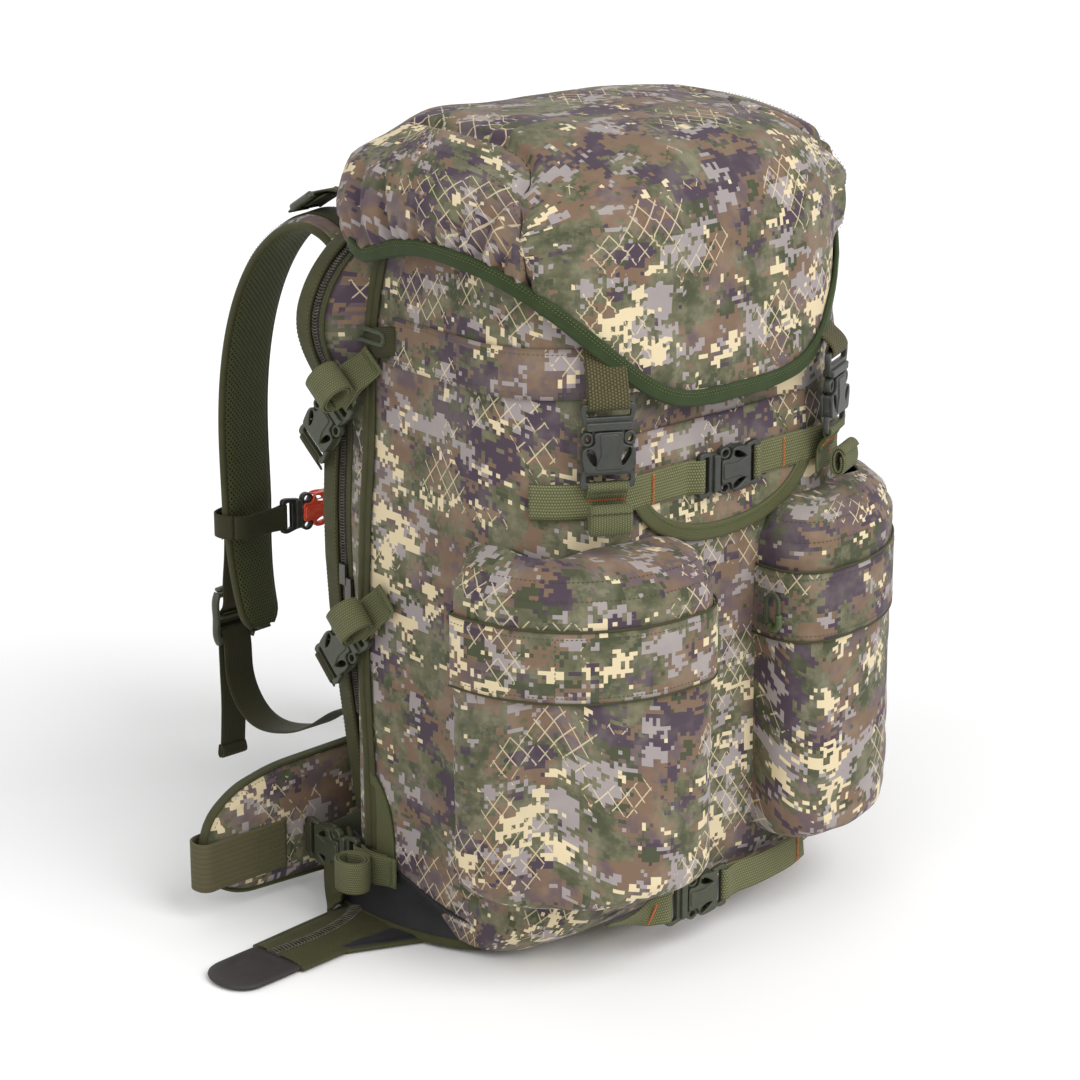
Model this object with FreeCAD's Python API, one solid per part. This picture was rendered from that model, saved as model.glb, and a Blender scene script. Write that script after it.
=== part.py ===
import FreeCAD, Part
import math
import os

# Camouflage hunting backpack: a tall top-loading bag on a wide harness panel, two front pockets, a domed
# lid, compression straps with side-release buckles, shoulder straps and hip wings.
# Millimetres. +Z is up, the bag's front faces -Y, the harness and the wearer are on +Y.
# The origin is on the floor, under the middle of the bag's width.

Vec = FreeCAD.Vector

# ---- main bag -------------------------------------------------------------------------------------------
bag_half_width = 175.0        # at mid height
bag_depth = 228.0             # back wall to front wall at mid height
bag_rear_y = 118.0            # outside of the back wall
bag_rim_z = 545.0             # top edge of the bag's wall
bag_front_radius = 82.0       # rounded front corners, in plan
bag_rear_radius = 24.0        # back corners, in plan
bag_wall = 3.0                # face fabric, foam and lining
bag_floor = 4.0
belly_z = 96.0                # where the front wall starts to curl under
belly_rise = 46.0             # how far the front bottom edge stands above the bag's floor
flat_floor_depth = 170.0      # the part of the floor that is flat, from the back wall
floor_half_width = 168.0
upper_z = 330.0               # above this the front wall leans back
upper_lean = 14.0             # how far back the rim is at the front
rim_inset = 15.0              # the rim is narrower by this on each side
sling_thick = 10.0            # folded black lining under the bag
sling_half_width = 160.0
sling_depth = 130.0

# ---- collar under the lid -------------------------------------------------------------------------------
collar_rise = 29.0            # above the rim
collar_mouth_half = 62.0      # half width of the gathered mouth
collar_wall = 2.0
collar_lap = 18.0             # sewn inside the rim by this
collar_cord_radius = 2.0
cord_lock_length = 20.0
cord_lock_radius = 7.0

# ---- lid ------------------------------------------------------------------------------------------------
lid_rise = 73.0               # the dome's top, above the bag's rim
lid_wall = 4.0
lid_side_proud = 3.0          # the lid is wider than the bag by this on each side
lid_proud = 13.0              # the skirt stands this far ahead of the bag's front wall
lid_skirt_z = 428.0           # lowest edge, at the front
lid_side_z = 535.0            # highest edge, on the sides
lid_front_radius = 126.0
lid_rear_radius = 40.0
lid_hinge_y = 137.0
lid_hinge_above = 24.0        # above the harness panel's top
lid_rear_gap = 12.0           # the skirt's side panels end this far ahead of the bag's back wall
binding_height = 11.0
binding_proud = 2.5

# ---- webbing and side-release buckles -------------------------------------------------------------------
web_thick = 1.6
lid_web = 30.0                # webbing widths
cross_web = 25.0
side_web = 25.0
shoulder_web = 28.0
sternum_web = 20.0
lifter_web = 20.0
hip_web = 40.0
buckle_thick = 10.0
buckle_margin = 6.5           # the buckle is wider than its webbing by this on each side
buckle_shell = 2.0
female_body = 30.0            # mouth to ladder
ladder_length = 12.0
ladder_bar = 4.0
ladder_thick = 3.0
male_base = 8.0
prong_length = 16.0
prong_width = 6.0
prong_thick = 4.0
buckle_clear = 0.5
buckle_travel = 18.0          # a released half stands this far off
web_lift = 0.7                # air between a ladder bar and the webbing over it

# ---- harness panel --------------------------------------------------------------------------------------
panel_gap = 4.0               # arch zipper's thickness, between the bag and the panel
panel_thick = 16.0
panel_foot_half = 138.0
panel_side_step = 2.0         # narrower than the bag by this on each side, at mid height
panel_mid_z = 300.0
panel_ear_half = 196.0        # the panel is widest here, level with the shoulder straps' roots
panel_ear_z = 462.0
panel_top_z = 552.0
pad_thick = 20.0
zip_width = 14.0
zip_inset = 3.0
zip_foot_z = 150.0            # the zip's two legs end here
slider_length = 16.0
slider_proud = 3.0
slider_start_z = 262.0
slider_clear = 1.5            # between a slider and the panel's outline at mid height

# ---- frame inside the bag -------------------------------------------------------------------------------
frame_clear = 1.0
frame_sheet_thick = 1.6
frame_half_width = 130.0
frame_height = 490.0
stay_width = 25.0
stay_thick = 3.2
stay_half_spacing = 75.0

# ---- front pockets --------------------------------------------------------------------------------------
pocket_inner_x = 37.0
pocket_side_proud = 28.0      # a pocket stands out past the bag's side
pocket_depth = 48.0           # how far a pocket stands out of the bag's front wall
pocket_outer_radius = 116.0
pocket_inner_radius = 34.0
pocket_flat = 4.0             # least straight front between the two rounded corners
pocket_rear_y = -34.0         # outer side seam
pocket_floor_z = 68.0
pocket_seam_z = 287.0         # cap stitch line
pocket_top_z = 334.0
pocket_wall = 2.5
pocket_round = 22.0
band_drop = 52.0              # zip cover band, below the cap stitch line
band_proud = 3.4
band_wall = 2.0
joint_gap = 0.8               # air between a moving fabric piece and the one it lies on

# ---- straps on the front --------------------------------------------------------------------------------
lid_strap_x = 112.0
lid_strap_shift = -7.0        # both lid straps sit this far off the middle
lid_buckle_mouth_z = 424.0
lid_strap_top_z = 470.0
tail_roll_height = 27.0
tail_roll_depth = 14.0
cross_z = 371.0
cross_left_end = 160.0
cross_right_end = 128.0
top_band_low_z = 443.0        # zip cover strip across the top of the front
top_band_height = 36.0
flap_half_width = 88.0
flap_drop = 45.0              # lowest point, below the cross strap's middle
flap_rise = 41.0
flap_rounding = 47.0
bottom_strap_z = 42.0
bottom_buckle_x = -40.0
bottom_half_length = 96.0
strap_stand = 3.0             # webbing's distance from the cloth behind it
tail_stand = 7.4              # released lid plugs pass in front of the lid's binding

# ---- side compression straps ----------------------------------------------------------------------------
side_seam_y = 90.0
piping_radius = 2.2
band_end_y = 64.0
band_pull_z = 462.0
side_roll_ahead = 35.0        # rolled excess, ahead of the buckle's mouth
side_roll_radius = 14.0
side_stand = 4.0              # the buckles' clearance from the bag's side
# each level: name, y and z of the buckle's mouth, degrees that the strap slopes down towards the panel
side_levels = (('top', 114.0, 400.0, 52.0), ('middle', 99.0, 226.0, 46.0), ('low', 112.0, 47.0, 0.0))

# ---- shoulder straps ------------------------------------------------------------------------------------
shoulder_x = 115.0
shoulder_width = 58.0
shoulder_skew = 17.0          # the inner edge stands this much further from the panel
shoulder_thick = 12.0
shoulder_taper_z = 262.0      # the pad narrows below this
adjuster_width = 38.0
adjuster_length = 44.0
adjuster_thick = 9.0
adjuster_stand = 20.0         # behind the end of the pad
lifter_root_below = 42.0       # below the panel's top
sternum_y = 296.0             # just ahead of the pads
sternum_z = 254.0
sternum_mouth_x = -76.0       # the chest buckle hangs near the left pad

# ---- hip wings ------------------------------------------------------------------------------------------
wing_root_x = 118.0
wing_reach = 160.0
wing_root_low = 8.0
wing_root_high = 110.0
wing_thick = 14.0
wing_gap = 2.0                # behind the lumbar pad
hip_web_z = 46.0
hip_web_overhang = 7.0

# ---- bottom tongues -------------------------------------------------------------------------------------
tongue_width = 50.0
tongue_length = 158.0
tongue_thick = 5.0
tongue_cap_length = 60.0
tongue_flare = 52.0           # the lining gusset widens the root over this length
tongue_turn = 4.0             # degrees that the tongues point forwards
tongue_root_x = 182.0
tongue_root_y = 78.0

# ---- small pulls ----------------------------------------------------------------------------------------
pull_cord_radius = 1.6
pull_length = 27.0
pull_width = 12.0
haul_web = 10.0
haul_length = 62.0
haul_z = 534.0
haul_tilt = 42.0              # degrees that the grab loop stands off the panel

collar_top_z = bag_rim_z + collar_rise
lid_top_z = bag_rim_z + lid_rise
lid_half_width = bag_half_width + lid_side_proud
lid_hinge_z = panel_top_z + lid_hinge_above
panel_mid_half = bag_half_width - panel_side_step
pocket_outer_x = bag_half_width + pocket_side_proud
bag_front_y = bag_rear_y - bag_depth
panel_front_y = bag_rear_y + panel_gap
panel_rear_y = panel_front_y + panel_thick
pad_rear_y = panel_rear_y + pad_thick
bag_floor_z = sling_thick
pocket_front_y = bag_front_y - pocket_depth
lid_front_y = bag_front_y - lid_proud
nodes = {}


def save(name, shape):
    """Keep one sub-part under its node name."""
    nodes[name] = shape


def mirrored(shape):
    return shape.mirror(Vec(0, 0, 0), Vec(1, 0, 0))


def box(x0, x1, y0, y1, z0, z1):
    return Part.makeBox(x1 - x0, y1 - y0, z1 - z0, Vec(x0, y0, z0))


def group(shapes):
    """Several separate solids in one node."""
    return Part.makeCompound(shapes)


def arc_point(cx, cy, radius, degrees):
    return (cx + radius * math.cos(math.radians(degrees)), cy + radius * math.sin(math.radians(degrees)))


def plan_wire(z, half, front, rear, front_radius, rear_radius):
    """Closed outline at height z: straight back and sides, large rounded front corners."""
    corners = [
        (-half + rear_radius, rear - rear_radius, rear_radius, 90),
        (-half + front_radius, front + front_radius, front_radius, 180),
        (half - front_radius, front + front_radius, front_radius, 270),
        (half - rear_radius, rear - rear_radius, rear_radius, 0),
    ]
    arcs = []
    for cx, cy, radius, start in corners:
        a, b, c = (Vec(*arc_point(cx, cy, radius, start + turn), z) for turn in (0, 45, 90))
        arcs.append(Part.Arc(a, b, c).toShape())
    edges = []
    for i, arc in enumerate(arcs):
        following = arcs[(i + 1) % 4]
        edges.append(arc)
        edges.append(Part.LineSegment(arc.Vertexes[-1].Point, following.Vertexes[0].Point).toShape())
    return Part.Wire(edges)


def loft(wires):
    return Part.makeLoft(wires, True, True)


def bag_body(inset, floor_z, top_z):
    """The bag's volume, drawn in by inset: curled under at the front, leaning back near the rim."""
    flat_front = bag_rear_y - flat_floor_depth
    half_curl = (flat_front + bag_front_y) / 2 - 6.0
    half_width = (floor_half_width + bag_half_width) / 2
    sections = [
        (bag_floor_z, floor_half_width, flat_front),
        (bag_floor_z + belly_rise * 0.4, half_width, half_curl),
        (bag_floor_z + belly_rise, bag_half_width, bag_front_y + 6.0),
    ]
    sections.append((belly_z, bag_half_width, bag_front_y))
    sections.append((upper_z, bag_half_width, bag_front_y))
    rim_front = bag_front_y + upper_lean
    sections.append((bag_rim_z, bag_half_width - rim_inset, rim_front))
    wires = []
    for z, half, front in sections:
        radius = bag_front_radius - (front - bag_front_y) * 0.8 if z < belly_z else bag_front_radius
        height = floor_z if z == sections[0][0] else z
        if z == sections[-1][0]:
            height = top_z
        wires.append(plan_wire(height, half - inset, front + inset, bag_rear_y - inset,
                               radius - inset, bag_rear_radius - min(inset, bag_rear_radius - 2.0)))
    return loft(wires)


def strip_face(points, thickness):
    """Planar outline of a band of constant thickness along a 2-D path, as two offset point lists."""
    left = []
    right = []
    count = len(points)
    for i, (u, v) in enumerate(points):
        before = points[max(i - 1, 0)]
        after = points[min(i + 1, count - 1)]
        du = after[0] - before[0]
        dv = after[1] - before[1]
        size = math.hypot(du, dv)
        nu = -dv / size * thickness / 2
        nv = du / size * thickness / 2
        left.append((u + nu, v + nv))
        right.append((u - nu, v - nv))
    return left, right


def smooth_strip(points, thickness, place, direction):
    """A band that follows a smooth planar path. place maps (u, v) to a point, direction is the width."""
    left, right = strip_face(points, thickness)
    sides = []
    for line in (left, right):
        curve = Part.BSplineCurve()
        curve.interpolate([place(u, v) for u, v in line])
        sides.append(curve.toShape())
    start = Part.LineSegment(place(*right[0]), place(*left[0])).toShape()
    end = Part.LineSegment(place(*left[-1]), place(*right[-1])).toShape()
    wire = Part.Wire(Part.__sortEdges__([sides[0], end, sides[1], start]))
    return Part.Face(wire).extrude(direction)


def along_yz(x):
    """Paths given as (y, z) in the plane x."""
    return lambda u, v: Vec(x, u, v)


def along_xy(z):
    return lambda u, v: Vec(u, v, z)


def prism_xz(points, y0, y1):
    """A flat plate: an outline given as (x, z), from y0 to y1."""
    corners = [Vec(x, y0, z) for x, z in points]
    return Part.Face(Part.makePolygon(corners + corners[:1])).extrude(Vec(0, y1 - y0, 0))


def round_edges(shape, radius, chosen):
    """Fillet the edges that chosen accepts."""
    edges = [edge for edge in shape.Edges if chosen(edge)]
    return shape.makeFillet(radius, edges)


def runs_along(axis):
    """Picks straight edges parallel to an axis."""
    def check(edge):
        if edge.Curve.TypeId != "Part::GeomLine":
            return False
        return abs(abs(edge.Curve.Direction.dot(axis)) - 1) < 1e-6
    return check


# ---- side-release buckle, in its own frame: webbing runs along x, width along y, outside is +z ----------

def female_half(web):
    """Socket: moulded body open at x = 0, and a ladder bar for its webbing."""
    half = web / 2 + buckle_margin
    deep = buckle_thick / 2
    end = female_body + ladder_length
    body = round_edges(box(0, female_body, -half, half, -deep, deep), 2.5, runs_along(Vec(1, 0, 0)))
    mouth = box(-1, prong_length + 3, -half + buckle_shell, half - buckle_shell,
                -deep + buckle_shell, deep - buckle_shell)
    window = box(prong_length * 0.45, prong_length * 0.95, -half - 1, half + 1, -2.2, 2.2)
    ladder = box(female_body, end, -half + 1, half - 1, -ladder_thick / 2, ladder_thick / 2)
    slot = box(female_body + 1, end - ladder_bar, -web / 2 - 1, web / 2 + 1, -deep, deep)
    return body.cut(mouth).cut(window).fuse(ladder.cut(slot)).removeSplitter()


def male_half(web):
    """Plug: base with two sprung prongs and a guide, and a ladder bar for its webbing."""
    half = web / 2 + buckle_margin
    deep = buckle_thick / 2
    start = -male_base - ladder_length
    base = box(-male_base, -buckle_clear, -half, half, -deep, deep)
    base = round_edges(base, 2.5, runs_along(Vec(1, 0, 0)))
    frame = box(start, -male_base, -half + 1, half - 1, -ladder_thick / 2, ladder_thick / 2)
    slot = box(start + ladder_bar, -male_base - 1, -web / 2 - 1, web / 2 + 1, -deep, deep)
    reach = half - buckle_shell - buckle_clear
    shape = base.fuse(frame.cut(slot))
    for low, high in ((-reach, -reach + prong_width), (reach - prong_width, reach), (-2.5, 2.5)):
        shape = shape.fuse(box(-male_base / 2, prong_length, low, high, -prong_thick / 2, prong_thick / 2))
    return shape.removeSplitter()


def over_bar():
    """Height of a webbing's middle where it lies over a ladder bar."""
    return ladder_thick / 2 + web_lift + web_thick / 2


def male_web_end():
    """The fixed webbing stops here, so that the released plug can slide under it."""
    return -male_base - buckle_travel - buckle_clear


def female_web_end():
    return female_body + buckle_clear


def web_run(x0, x1, web):
    """A straight stretch of webbing in the buckle's frame."""
    z = over_bar()
    return box(x0, x1, -web / 2, web / 2, z - web_thick / 2, z + web_thick / 2)


def placed(shape, origin, along, outward):
    """Move a shape from the buckle's frame: x goes along, z goes outward."""
    along = Vec(*along).normalize()
    outward = Vec(*outward)
    outward = (outward - along * outward.dot(along)).normalize()
    across = outward.cross(along)
    matrix = FreeCAD.Matrix(along.x, across.x, outward.x, origin[0],
                            along.y, across.y, outward.y, origin[1],
                            along.z, across.z, outward.z, origin[2],
                            0, 0, 0, 1)
    moved = shape.copy()
    moved.Placement = FreeCAD.Placement(matrix).multiply(shape.Placement)
    return moved


def webbing_roll(height, depth, width):
    """Excess webbing rolled up: an oval ring, its axis along y, its middle at the origin."""
    outer = Part.makeBox(height, width, depth, Vec(-height / 2, -width / 2, -depth / 2))
    outer = round_edges(outer, min(height, depth) / 2 - 0.3, runs_along(Vec(0, 1, 0)))
    hole_long = height - depth
    hole = Part.makeBox(hole_long, width + 2, 3.0, Vec(-hole_long / 2, -width / 2 - 1, -1.5))
    return outer.cut(hole)


# ---- main bag and what is sewn to it --------------------------------------------------------------------

def front_at(z):
    """The front wall's y in the middle of the bag, above the belly."""
    return bag_front_y + upper_lean * max(0.0, z - upper_z) / (bag_rim_z - upper_z)


def side_at(z):
    """The side wall's half width, above the belly."""
    return bag_half_width - rim_inset * max(0.0, z - upper_z) / (bag_rim_z - upper_z)


def make_bag():
    outer = bag_body(0.0, bag_floor_z, bag_rim_z)
    inner = bag_body(bag_wall, bag_floor_z + bag_floor, bag_rim_z + 1.0)
    save("bag_shell", outer.cut(inner))
    return outer


def make_collar():
    """Gathered drawstring throat, sewn inside the rim and closed down to a small mouth."""
    base_z = bag_rim_z - collar_lap
    inset = bag_wall + rim_inset + joint_gap
    mid_y = (bag_front_y + upper_lean + bag_rear_y) / 2
    mouth = collar_mouth_half

    def sections(shrink, below, above):
        half = bag_half_width - inset - shrink
        front = bag_front_y + upper_lean + bag_wall + joint_gap + shrink
        rear = bag_rear_y - bag_wall - frame_sheet_thick - stay_thick - 3 * frame_clear - shrink
        wide = mouth * 1.75 - shrink
        corner = bag_front_radius - bag_wall - joint_gap - shrink
        return [
            plan_wire(base_z - below, half, front, rear, corner, 18.0),
            plan_wire(bag_rim_z, half, front, rear, corner, 18.0),
            plan_wire(collar_top_z - 14.0, wide, mid_y - wide * 0.62, mid_y + wide * 0.62, wide * 0.5, 30.0),
            plan_wire(collar_top_z + above, mouth - shrink, mid_y - (mouth - shrink) * 0.7,
                      mid_y + (mouth - shrink) * 0.7, (mouth - shrink) * 0.6, (mouth - shrink) * 0.6),
        ]

    outer = loft(sections(0.0, 0.0, 0.0))
    inner = loft(sections(collar_wall, 1.0, 1.0))
    save("bag_collar", outer.cut(inner))
    ring_z = collar_top_z + collar_cord_radius + joint_gap
    centre = Vec(0, mid_y, ring_z)
    ring = Part.makeTorus(mouth * 0.8, collar_cord_radius, centre, Vec(0, 0, 1))
    lock_y = mid_y - mouth * 0.8 - collar_cord_radius - cord_lock_radius - joint_gap
    lock = Part.makeCylinder(cord_lock_radius, cord_lock_length,
                             Vec(-cord_lock_length / 2, lock_y, ring_z + 1.0), Vec(1, 0, 0))
    save("collar_cord", group([ring, lock]))


def make_frame():
    """Plastic sheet and two bent aluminium stays against the inside of the back wall."""
    floor = bag_floor_z + bag_floor + frame_clear
    rear = bag_rear_y - bag_wall - frame_clear
    front = rear - frame_sheet_thick
    sheet = box(-frame_half_width, frame_half_width, front, rear, floor, floor + frame_height)
    sheet = round_edges(sheet, 30.0, runs_along(Vec(0, 1, 0)))
    save("frame_sheet", sheet)
    stay_rear = front - 0.3
    stays = []
    for side in (-1, 1):
        middle = side * stay_half_spacing
        stay = box(middle - stay_width / 2, middle + stay_width / 2, stay_rear - stay_thick, stay_rear,
                   floor + 8.0, floor + frame_height - 12.0)
        stays.append(round_edges(stay, stay_width / 2 - 0.2, runs_along(Vec(0, 1, 0))))
    save("frame_stays", group(stays))


def make_sling():
    """Folded black lining that the bag stands on, from the harness panel's foot forwards."""
    rear = panel_front_y - joint_gap
    slab = box(-sling_half_width, sling_half_width, rear - sling_depth, rear, 0.0, sling_thick)
    slab = round_edges(slab, 22.0, runs_along(Vec(0, 0, 1)))
    save("load_sling", slab)


def panel_plate(inset, y0, y1):
    """Arched plate of the harness panel, drawn in by inset."""
    ear = panel_ear_half - inset
    top = panel_top_z - inset
    knots = [(panel_foot_half - inset, inset), (panel_foot_half + 20.0 - inset, 130.0),
             (panel_mid_half - 2.0 - inset, panel_mid_z - 60.0), (panel_mid_half - inset, panel_mid_z + 50.0),
             (panel_mid_half + 2.0 - inset, panel_mid_z + 110.0), (ear - 4.0, panel_ear_z - 16.0),
             (ear, panel_ear_z), (ear - 14.0, panel_ear_z + 40.0),
             (ear - 60.0, top - 17.0), (ear - 110.0, top - 3.0), (0.0, top)]

    def half_edge(side):
        curve = Part.BSplineCurve()
        curve.interpolate([Vec(side * x, y0, z) for x, z in knots])
        return curve.toShape()

    foot_x, foot_z = knots[0]
    foot = Part.LineSegment(Vec(-foot_x, y0, foot_z), Vec(foot_x, y0, foot_z)).toShape()
    wire = Part.Wire(Part.__sortEdges__([half_edge(-1), half_edge(1), foot]))
    return Part.Face(wire).extrude(Vec(0, y1 - y0, 0))


def make_panel():
    save("back_panel", panel_plate(0.0, panel_front_y, panel_rear_y))
    gap = joint_gap
    pads = []
    for x0, x1, z0, z1 in ((-128.0, -34.0, 150.0, 430.0), (34.0, 128.0, 150.0, 430.0),
                           (-126.0, 126.0, 14.0, 138.0), (-60.0, 60.0, 442.0, 498.0)):
        pad = box(x0, x1, panel_rear_y + 0.1, pad_rear_y, z0, z1)
        pads.append(round_edges(pad, 24.0, runs_along(Vec(0, 1, 0))))
    save("back_pads", group(pads))
    ring = panel_plate(zip_inset, bag_rear_y + gap / 2, panel_front_y - gap / 2)
    hole = panel_plate(zip_inset + zip_width, bag_rear_y - 1.0, panel_front_y + 1.0)
    lower = box(-300, 300, bag_rear_y - 2, panel_front_y + 2, -10, zip_foot_z)
    save("arch_zipper", ring.cut(hole).cut(lower))


def make_zip_sliders():
    """A slider on each leg of the arch zipper; it rides on the outer edge of the coil."""
    x_edge = panel_mid_half - slider_clear
    for name, side in (("left", -1), ("right", 1)):
        x0 = x_edge
        x1 = x_edge + slider_proud
        body = box(x0, x1, bag_rear_y - 3.0, panel_front_y - 0.4, slider_start_z, slider_start_z + slider_length)
        tab = box(x0 + 0.5, x0 + 2.5, bag_rear_y - 9.0, bag_rear_y - 2.0, slider_start_z - 22.0,
                  slider_start_z + 6.0)
        shape = body.fuse(tab)
        save("arch_slider_" + name, shape if side > 0 else mirrored(shape))


def make_side_bindings(bag):
    """Piped seams down both sides of the bag."""
    rods = []
    levels = (70.0, belly_z, upper_z, bag_rim_z - 20.0)
    for side in (-1, 1):
        points = [Vec(side * (side_at(z) + piping_radius / 2), side_seam_y, z) for z in levels]
        path = Part.makePolygon(points)
        circle = Part.Wire(Part.makeCircle(piping_radius, points[0], points[1] - points[0]))
        rods.append(path.makePipeShell([circle], True, True, 1))
    save("side_bindings", group([rod.cut(bag) for rod in rods]))


# ---- lid ------------------------------------------------------------------------------------------------

def lid_body(inset, extra_low):
    """The lid's volume: a dome with a slightly bulging skirt, drawn in by inset."""
    half = lid_half_width
    front = lid_front_y
    rear = lid_hinge_y - 2.0
    dome = [
        (lid_skirt_z - 20.0 - extra_low, 1.0, 3.0, 0.0),
        (lid_top_z - 100.0, -1.0, -1.0, 0.0),
        (lid_top_z - 62.0, 4.0, 3.0, 1.0),
        (lid_top_z - 34.0, 14.0, 14.0, 7.0),
        (lid_top_z - 16.0, 30.0, 32.0, 17.0),
        (lid_top_z - 5.0, 52.0, 54.0, 30.0),
        (lid_top_z, 86.0, 86.0, 48.0),
    ]
    wires = []
    for z, side_in, front_in, rear_in in dome:
        height = z - (inset if z > lid_top_z - 40.0 else 0.0)
        deep = rear - rear_in - front - front_in
        radius = min(lid_front_radius, half - side_in - 8.0, deep - lid_rear_radius - 8.0)
        wires.append(plan_wire(height, half - side_in - inset, front + front_in + inset, rear - rear_in - inset,
                               radius - inset, lid_rear_radius))
    return loft(wires)


def skirt_cutter(raise_by, reach):
    """Everything below the lid's swept edge: low at the front, high on the sides, open at the back."""
    side_end = bag_rear_y - lid_rear_gap
    profile = [(-reach, lid_skirt_z), (lid_front_y + 1.0, lid_skirt_z), (lid_front_y + 14.0, lid_skirt_z + 38.0),
               (lid_front_y + 44.0, lid_side_z - 27.0), (lid_front_y + 82.0, lid_side_z - 4.0),
               (lid_front_y + 140.0, lid_side_z), (lid_front_y + 190.0, lid_side_z - 12.0),
               (side_end, lid_side_z - 40.0)]
    profile = [(y, z + raise_by) for y, z in profile]
    points = [Vec(-reach, y, z) for y, z in profile[1:]]
    curve = Part.BSplineCurve()
    curve.interpolate(points)
    corners = [points[-1], Vec(-reach, side_end, lid_hinge_z), Vec(-reach, reach, lid_hinge_z),
               Vec(-reach, reach, 300.0), Vec(-reach, -reach, 300.0), Vec(-reach, -reach, profile[0][1]),
               points[0]]
    edges = [curve.toShape()]
    for a, b in zip(corners[:-1], corners[1:]):
        edges.append(Part.LineSegment(a, b).toShape())
    return Part.Face(Part.Wire(edges)).extrude(Vec(2 * reach, 0, 0))


def make_lid():
    reach = 260.0
    outer = lid_body(0.0, 0.0)
    inner = lid_body(lid_wall, 5.0)
    shell = outer.cut(inner)
    below = skirt_cutter(0.0, reach)
    lid = shell.cut(below)
    band_top = skirt_cutter(binding_height, reach)
    proud = lid_body(-binding_proud, 0.0).cut(lid_body(-0.05, 5.0))
    ring = proud.common(band_top).cut(below)
    keep = box(-reach, reach, -reach, bag_rear_y - lid_rear_gap - 0.2, 300.0, 700.0)
    save("lid_shell", lid)
    save("lid_binding", ring.common(keep))
    strip = box(-118.0, 118.0, panel_rear_y + 0.2, panel_rear_y + 2.0, panel_top_z - 26.0, lid_hinge_z - 2.0)
    save("lid_hinge_strip", strip)


def lid_strap_frame(side):
    """Origin, direction and outward normal of a lid strap; x runs down into the socket."""
    x = lid_strap_x + side * lid_strap_shift
    centre_x = lid_half_width - lid_front_radius
    centre_y = lid_front_y + lid_front_radius
    reach = lid_front_radius + binding_proud + tail_stand - ladder_thick / 2 - web_lift + 0.5
    turn = math.asin((x - centre_x) / reach)
    outward = (side * math.sin(turn), -math.cos(turn), 0.0)
    return (side * x, centre_y - reach * math.cos(turn), lid_buckle_mouth_z), (0.0, 0.0, -1.0), outward


def make_lid_straps():
    straps = []
    sockets = []
    tails = []
    top = lid_buckle_mouth_z - lid_strap_top_z
    for name, side in (("left", -1), ("right", 1)):
        frame = lid_strap_frame(side)
        straps.append(placed(web_run(top, male_web_end(), lid_web), *frame))
        save("lid_buckle_male_" + name, placed(male_half(lid_web), *frame))
        sockets.append(placed(female_half(lid_web), *frame))
        end = female_body + ladder_length
        tail = web_run(female_web_end(), end + 6.0, lid_web)
        roll = webbing_roll(tail_roll_height, tail_roll_depth, lid_web)
        roll.translate(Vec(end + 6.2 + tail_roll_height / 2, 0, over_bar() - web_thick / 2 + tail_roll_depth / 2))
        tails.append(placed(tail, *frame))
        tails.append(placed(roll, *frame))
    save("lid_straps", group(straps))
    save("lid_buckle_females", group(sockets))
    save("lid_strap_tails", group(tails))


# ---- front band, flap and pockets -----------------------------------------------------------------------

def make_front_trim(bag):
    """Zip cover strip across the top of the front, and the rounded flap behind the cross strap."""
    slab = box(-300, 300, -200, band_end_y, top_band_low_z, top_band_low_z + top_band_height)
    outer = bag_body(-2.6, bag_floor_z, bag_rim_z)
    inner = bag_body(-0.3, bag_floor_z, bag_rim_z)
    save("front_band", outer.cut(inner).common(slab))
    width = flap_half_width
    low = cross_z - flap_drop
    side = low + flap_rounding
    top = cross_z + flap_rise
    points = [(-width, top), (-width, side), (-width * 0.85, low + flap_rounding / 2), (-width * 0.5, low + 6.0),
              (0, low), (width * 0.5, low + 6.0), (width * 0.85, low + flap_rounding / 2), (width, side),
              (width, top)]
    tool = prism_xz(points, -200, 0)
    flap = bag_body(-1.2, bag_floor_z, bag_rim_z).cut(inner)
    save("front_flap", flap.common(tool))


def pocket_wire(z, inset):
    """Left pocket outline in plan at height z, drawn in by inset; its back lies inside the bag."""
    inner_x = -pocket_inner_x - inset
    outer_x = -pocket_outer_x + inset
    front = pocket_front_y + inset
    inner_radius = pocket_inner_radius - inset * 0.4
    widest = pocket_outer_x - pocket_inner_x - pocket_inner_radius - pocket_flat
    outer_radius = min(pocket_outer_radius, widest) - inset * 1.6
    rear = pocket_rear_y - inset * 0.5
    back = bag_front_y + 40.0
    centre_in = (inner_x - inner_radius, front + inner_radius)
    centre_out = (outer_x + outer_radius, front + outer_radius)

    def pt(x, y):
        return Vec(x, y, z)

    def arc(centre, radius, angles):
        a, b, c = (pt(*arc_point(*centre, radius, angle)) for angle in angles)
        return Part.Arc(a, b, c).toShape()

    inner_arc = arc(centre_in, inner_radius, (0, -45, -90))
    outer_arc = arc(centre_out, outer_radius, (270, 225, 180))
    turn_x = outer_x + 26.0
    corners = [pt(outer_x, centre_out[1]), pt(outer_x + 4.0, rear - 8.0), pt(turn_x, rear), pt(turn_x + 20, rear),
               pt(inner_x, back), pt(inner_x, centre_in[1])]
    edges = [inner_arc, Part.LineSegment(pt(centre_in[0], front), pt(centre_out[0], front)).toShape(), outer_arc]
    for a, b in zip(corners[:-1], corners[1:]):
        edges.append(Part.LineSegment(a, b).toShape())
    return Part.Wire(edges)


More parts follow.
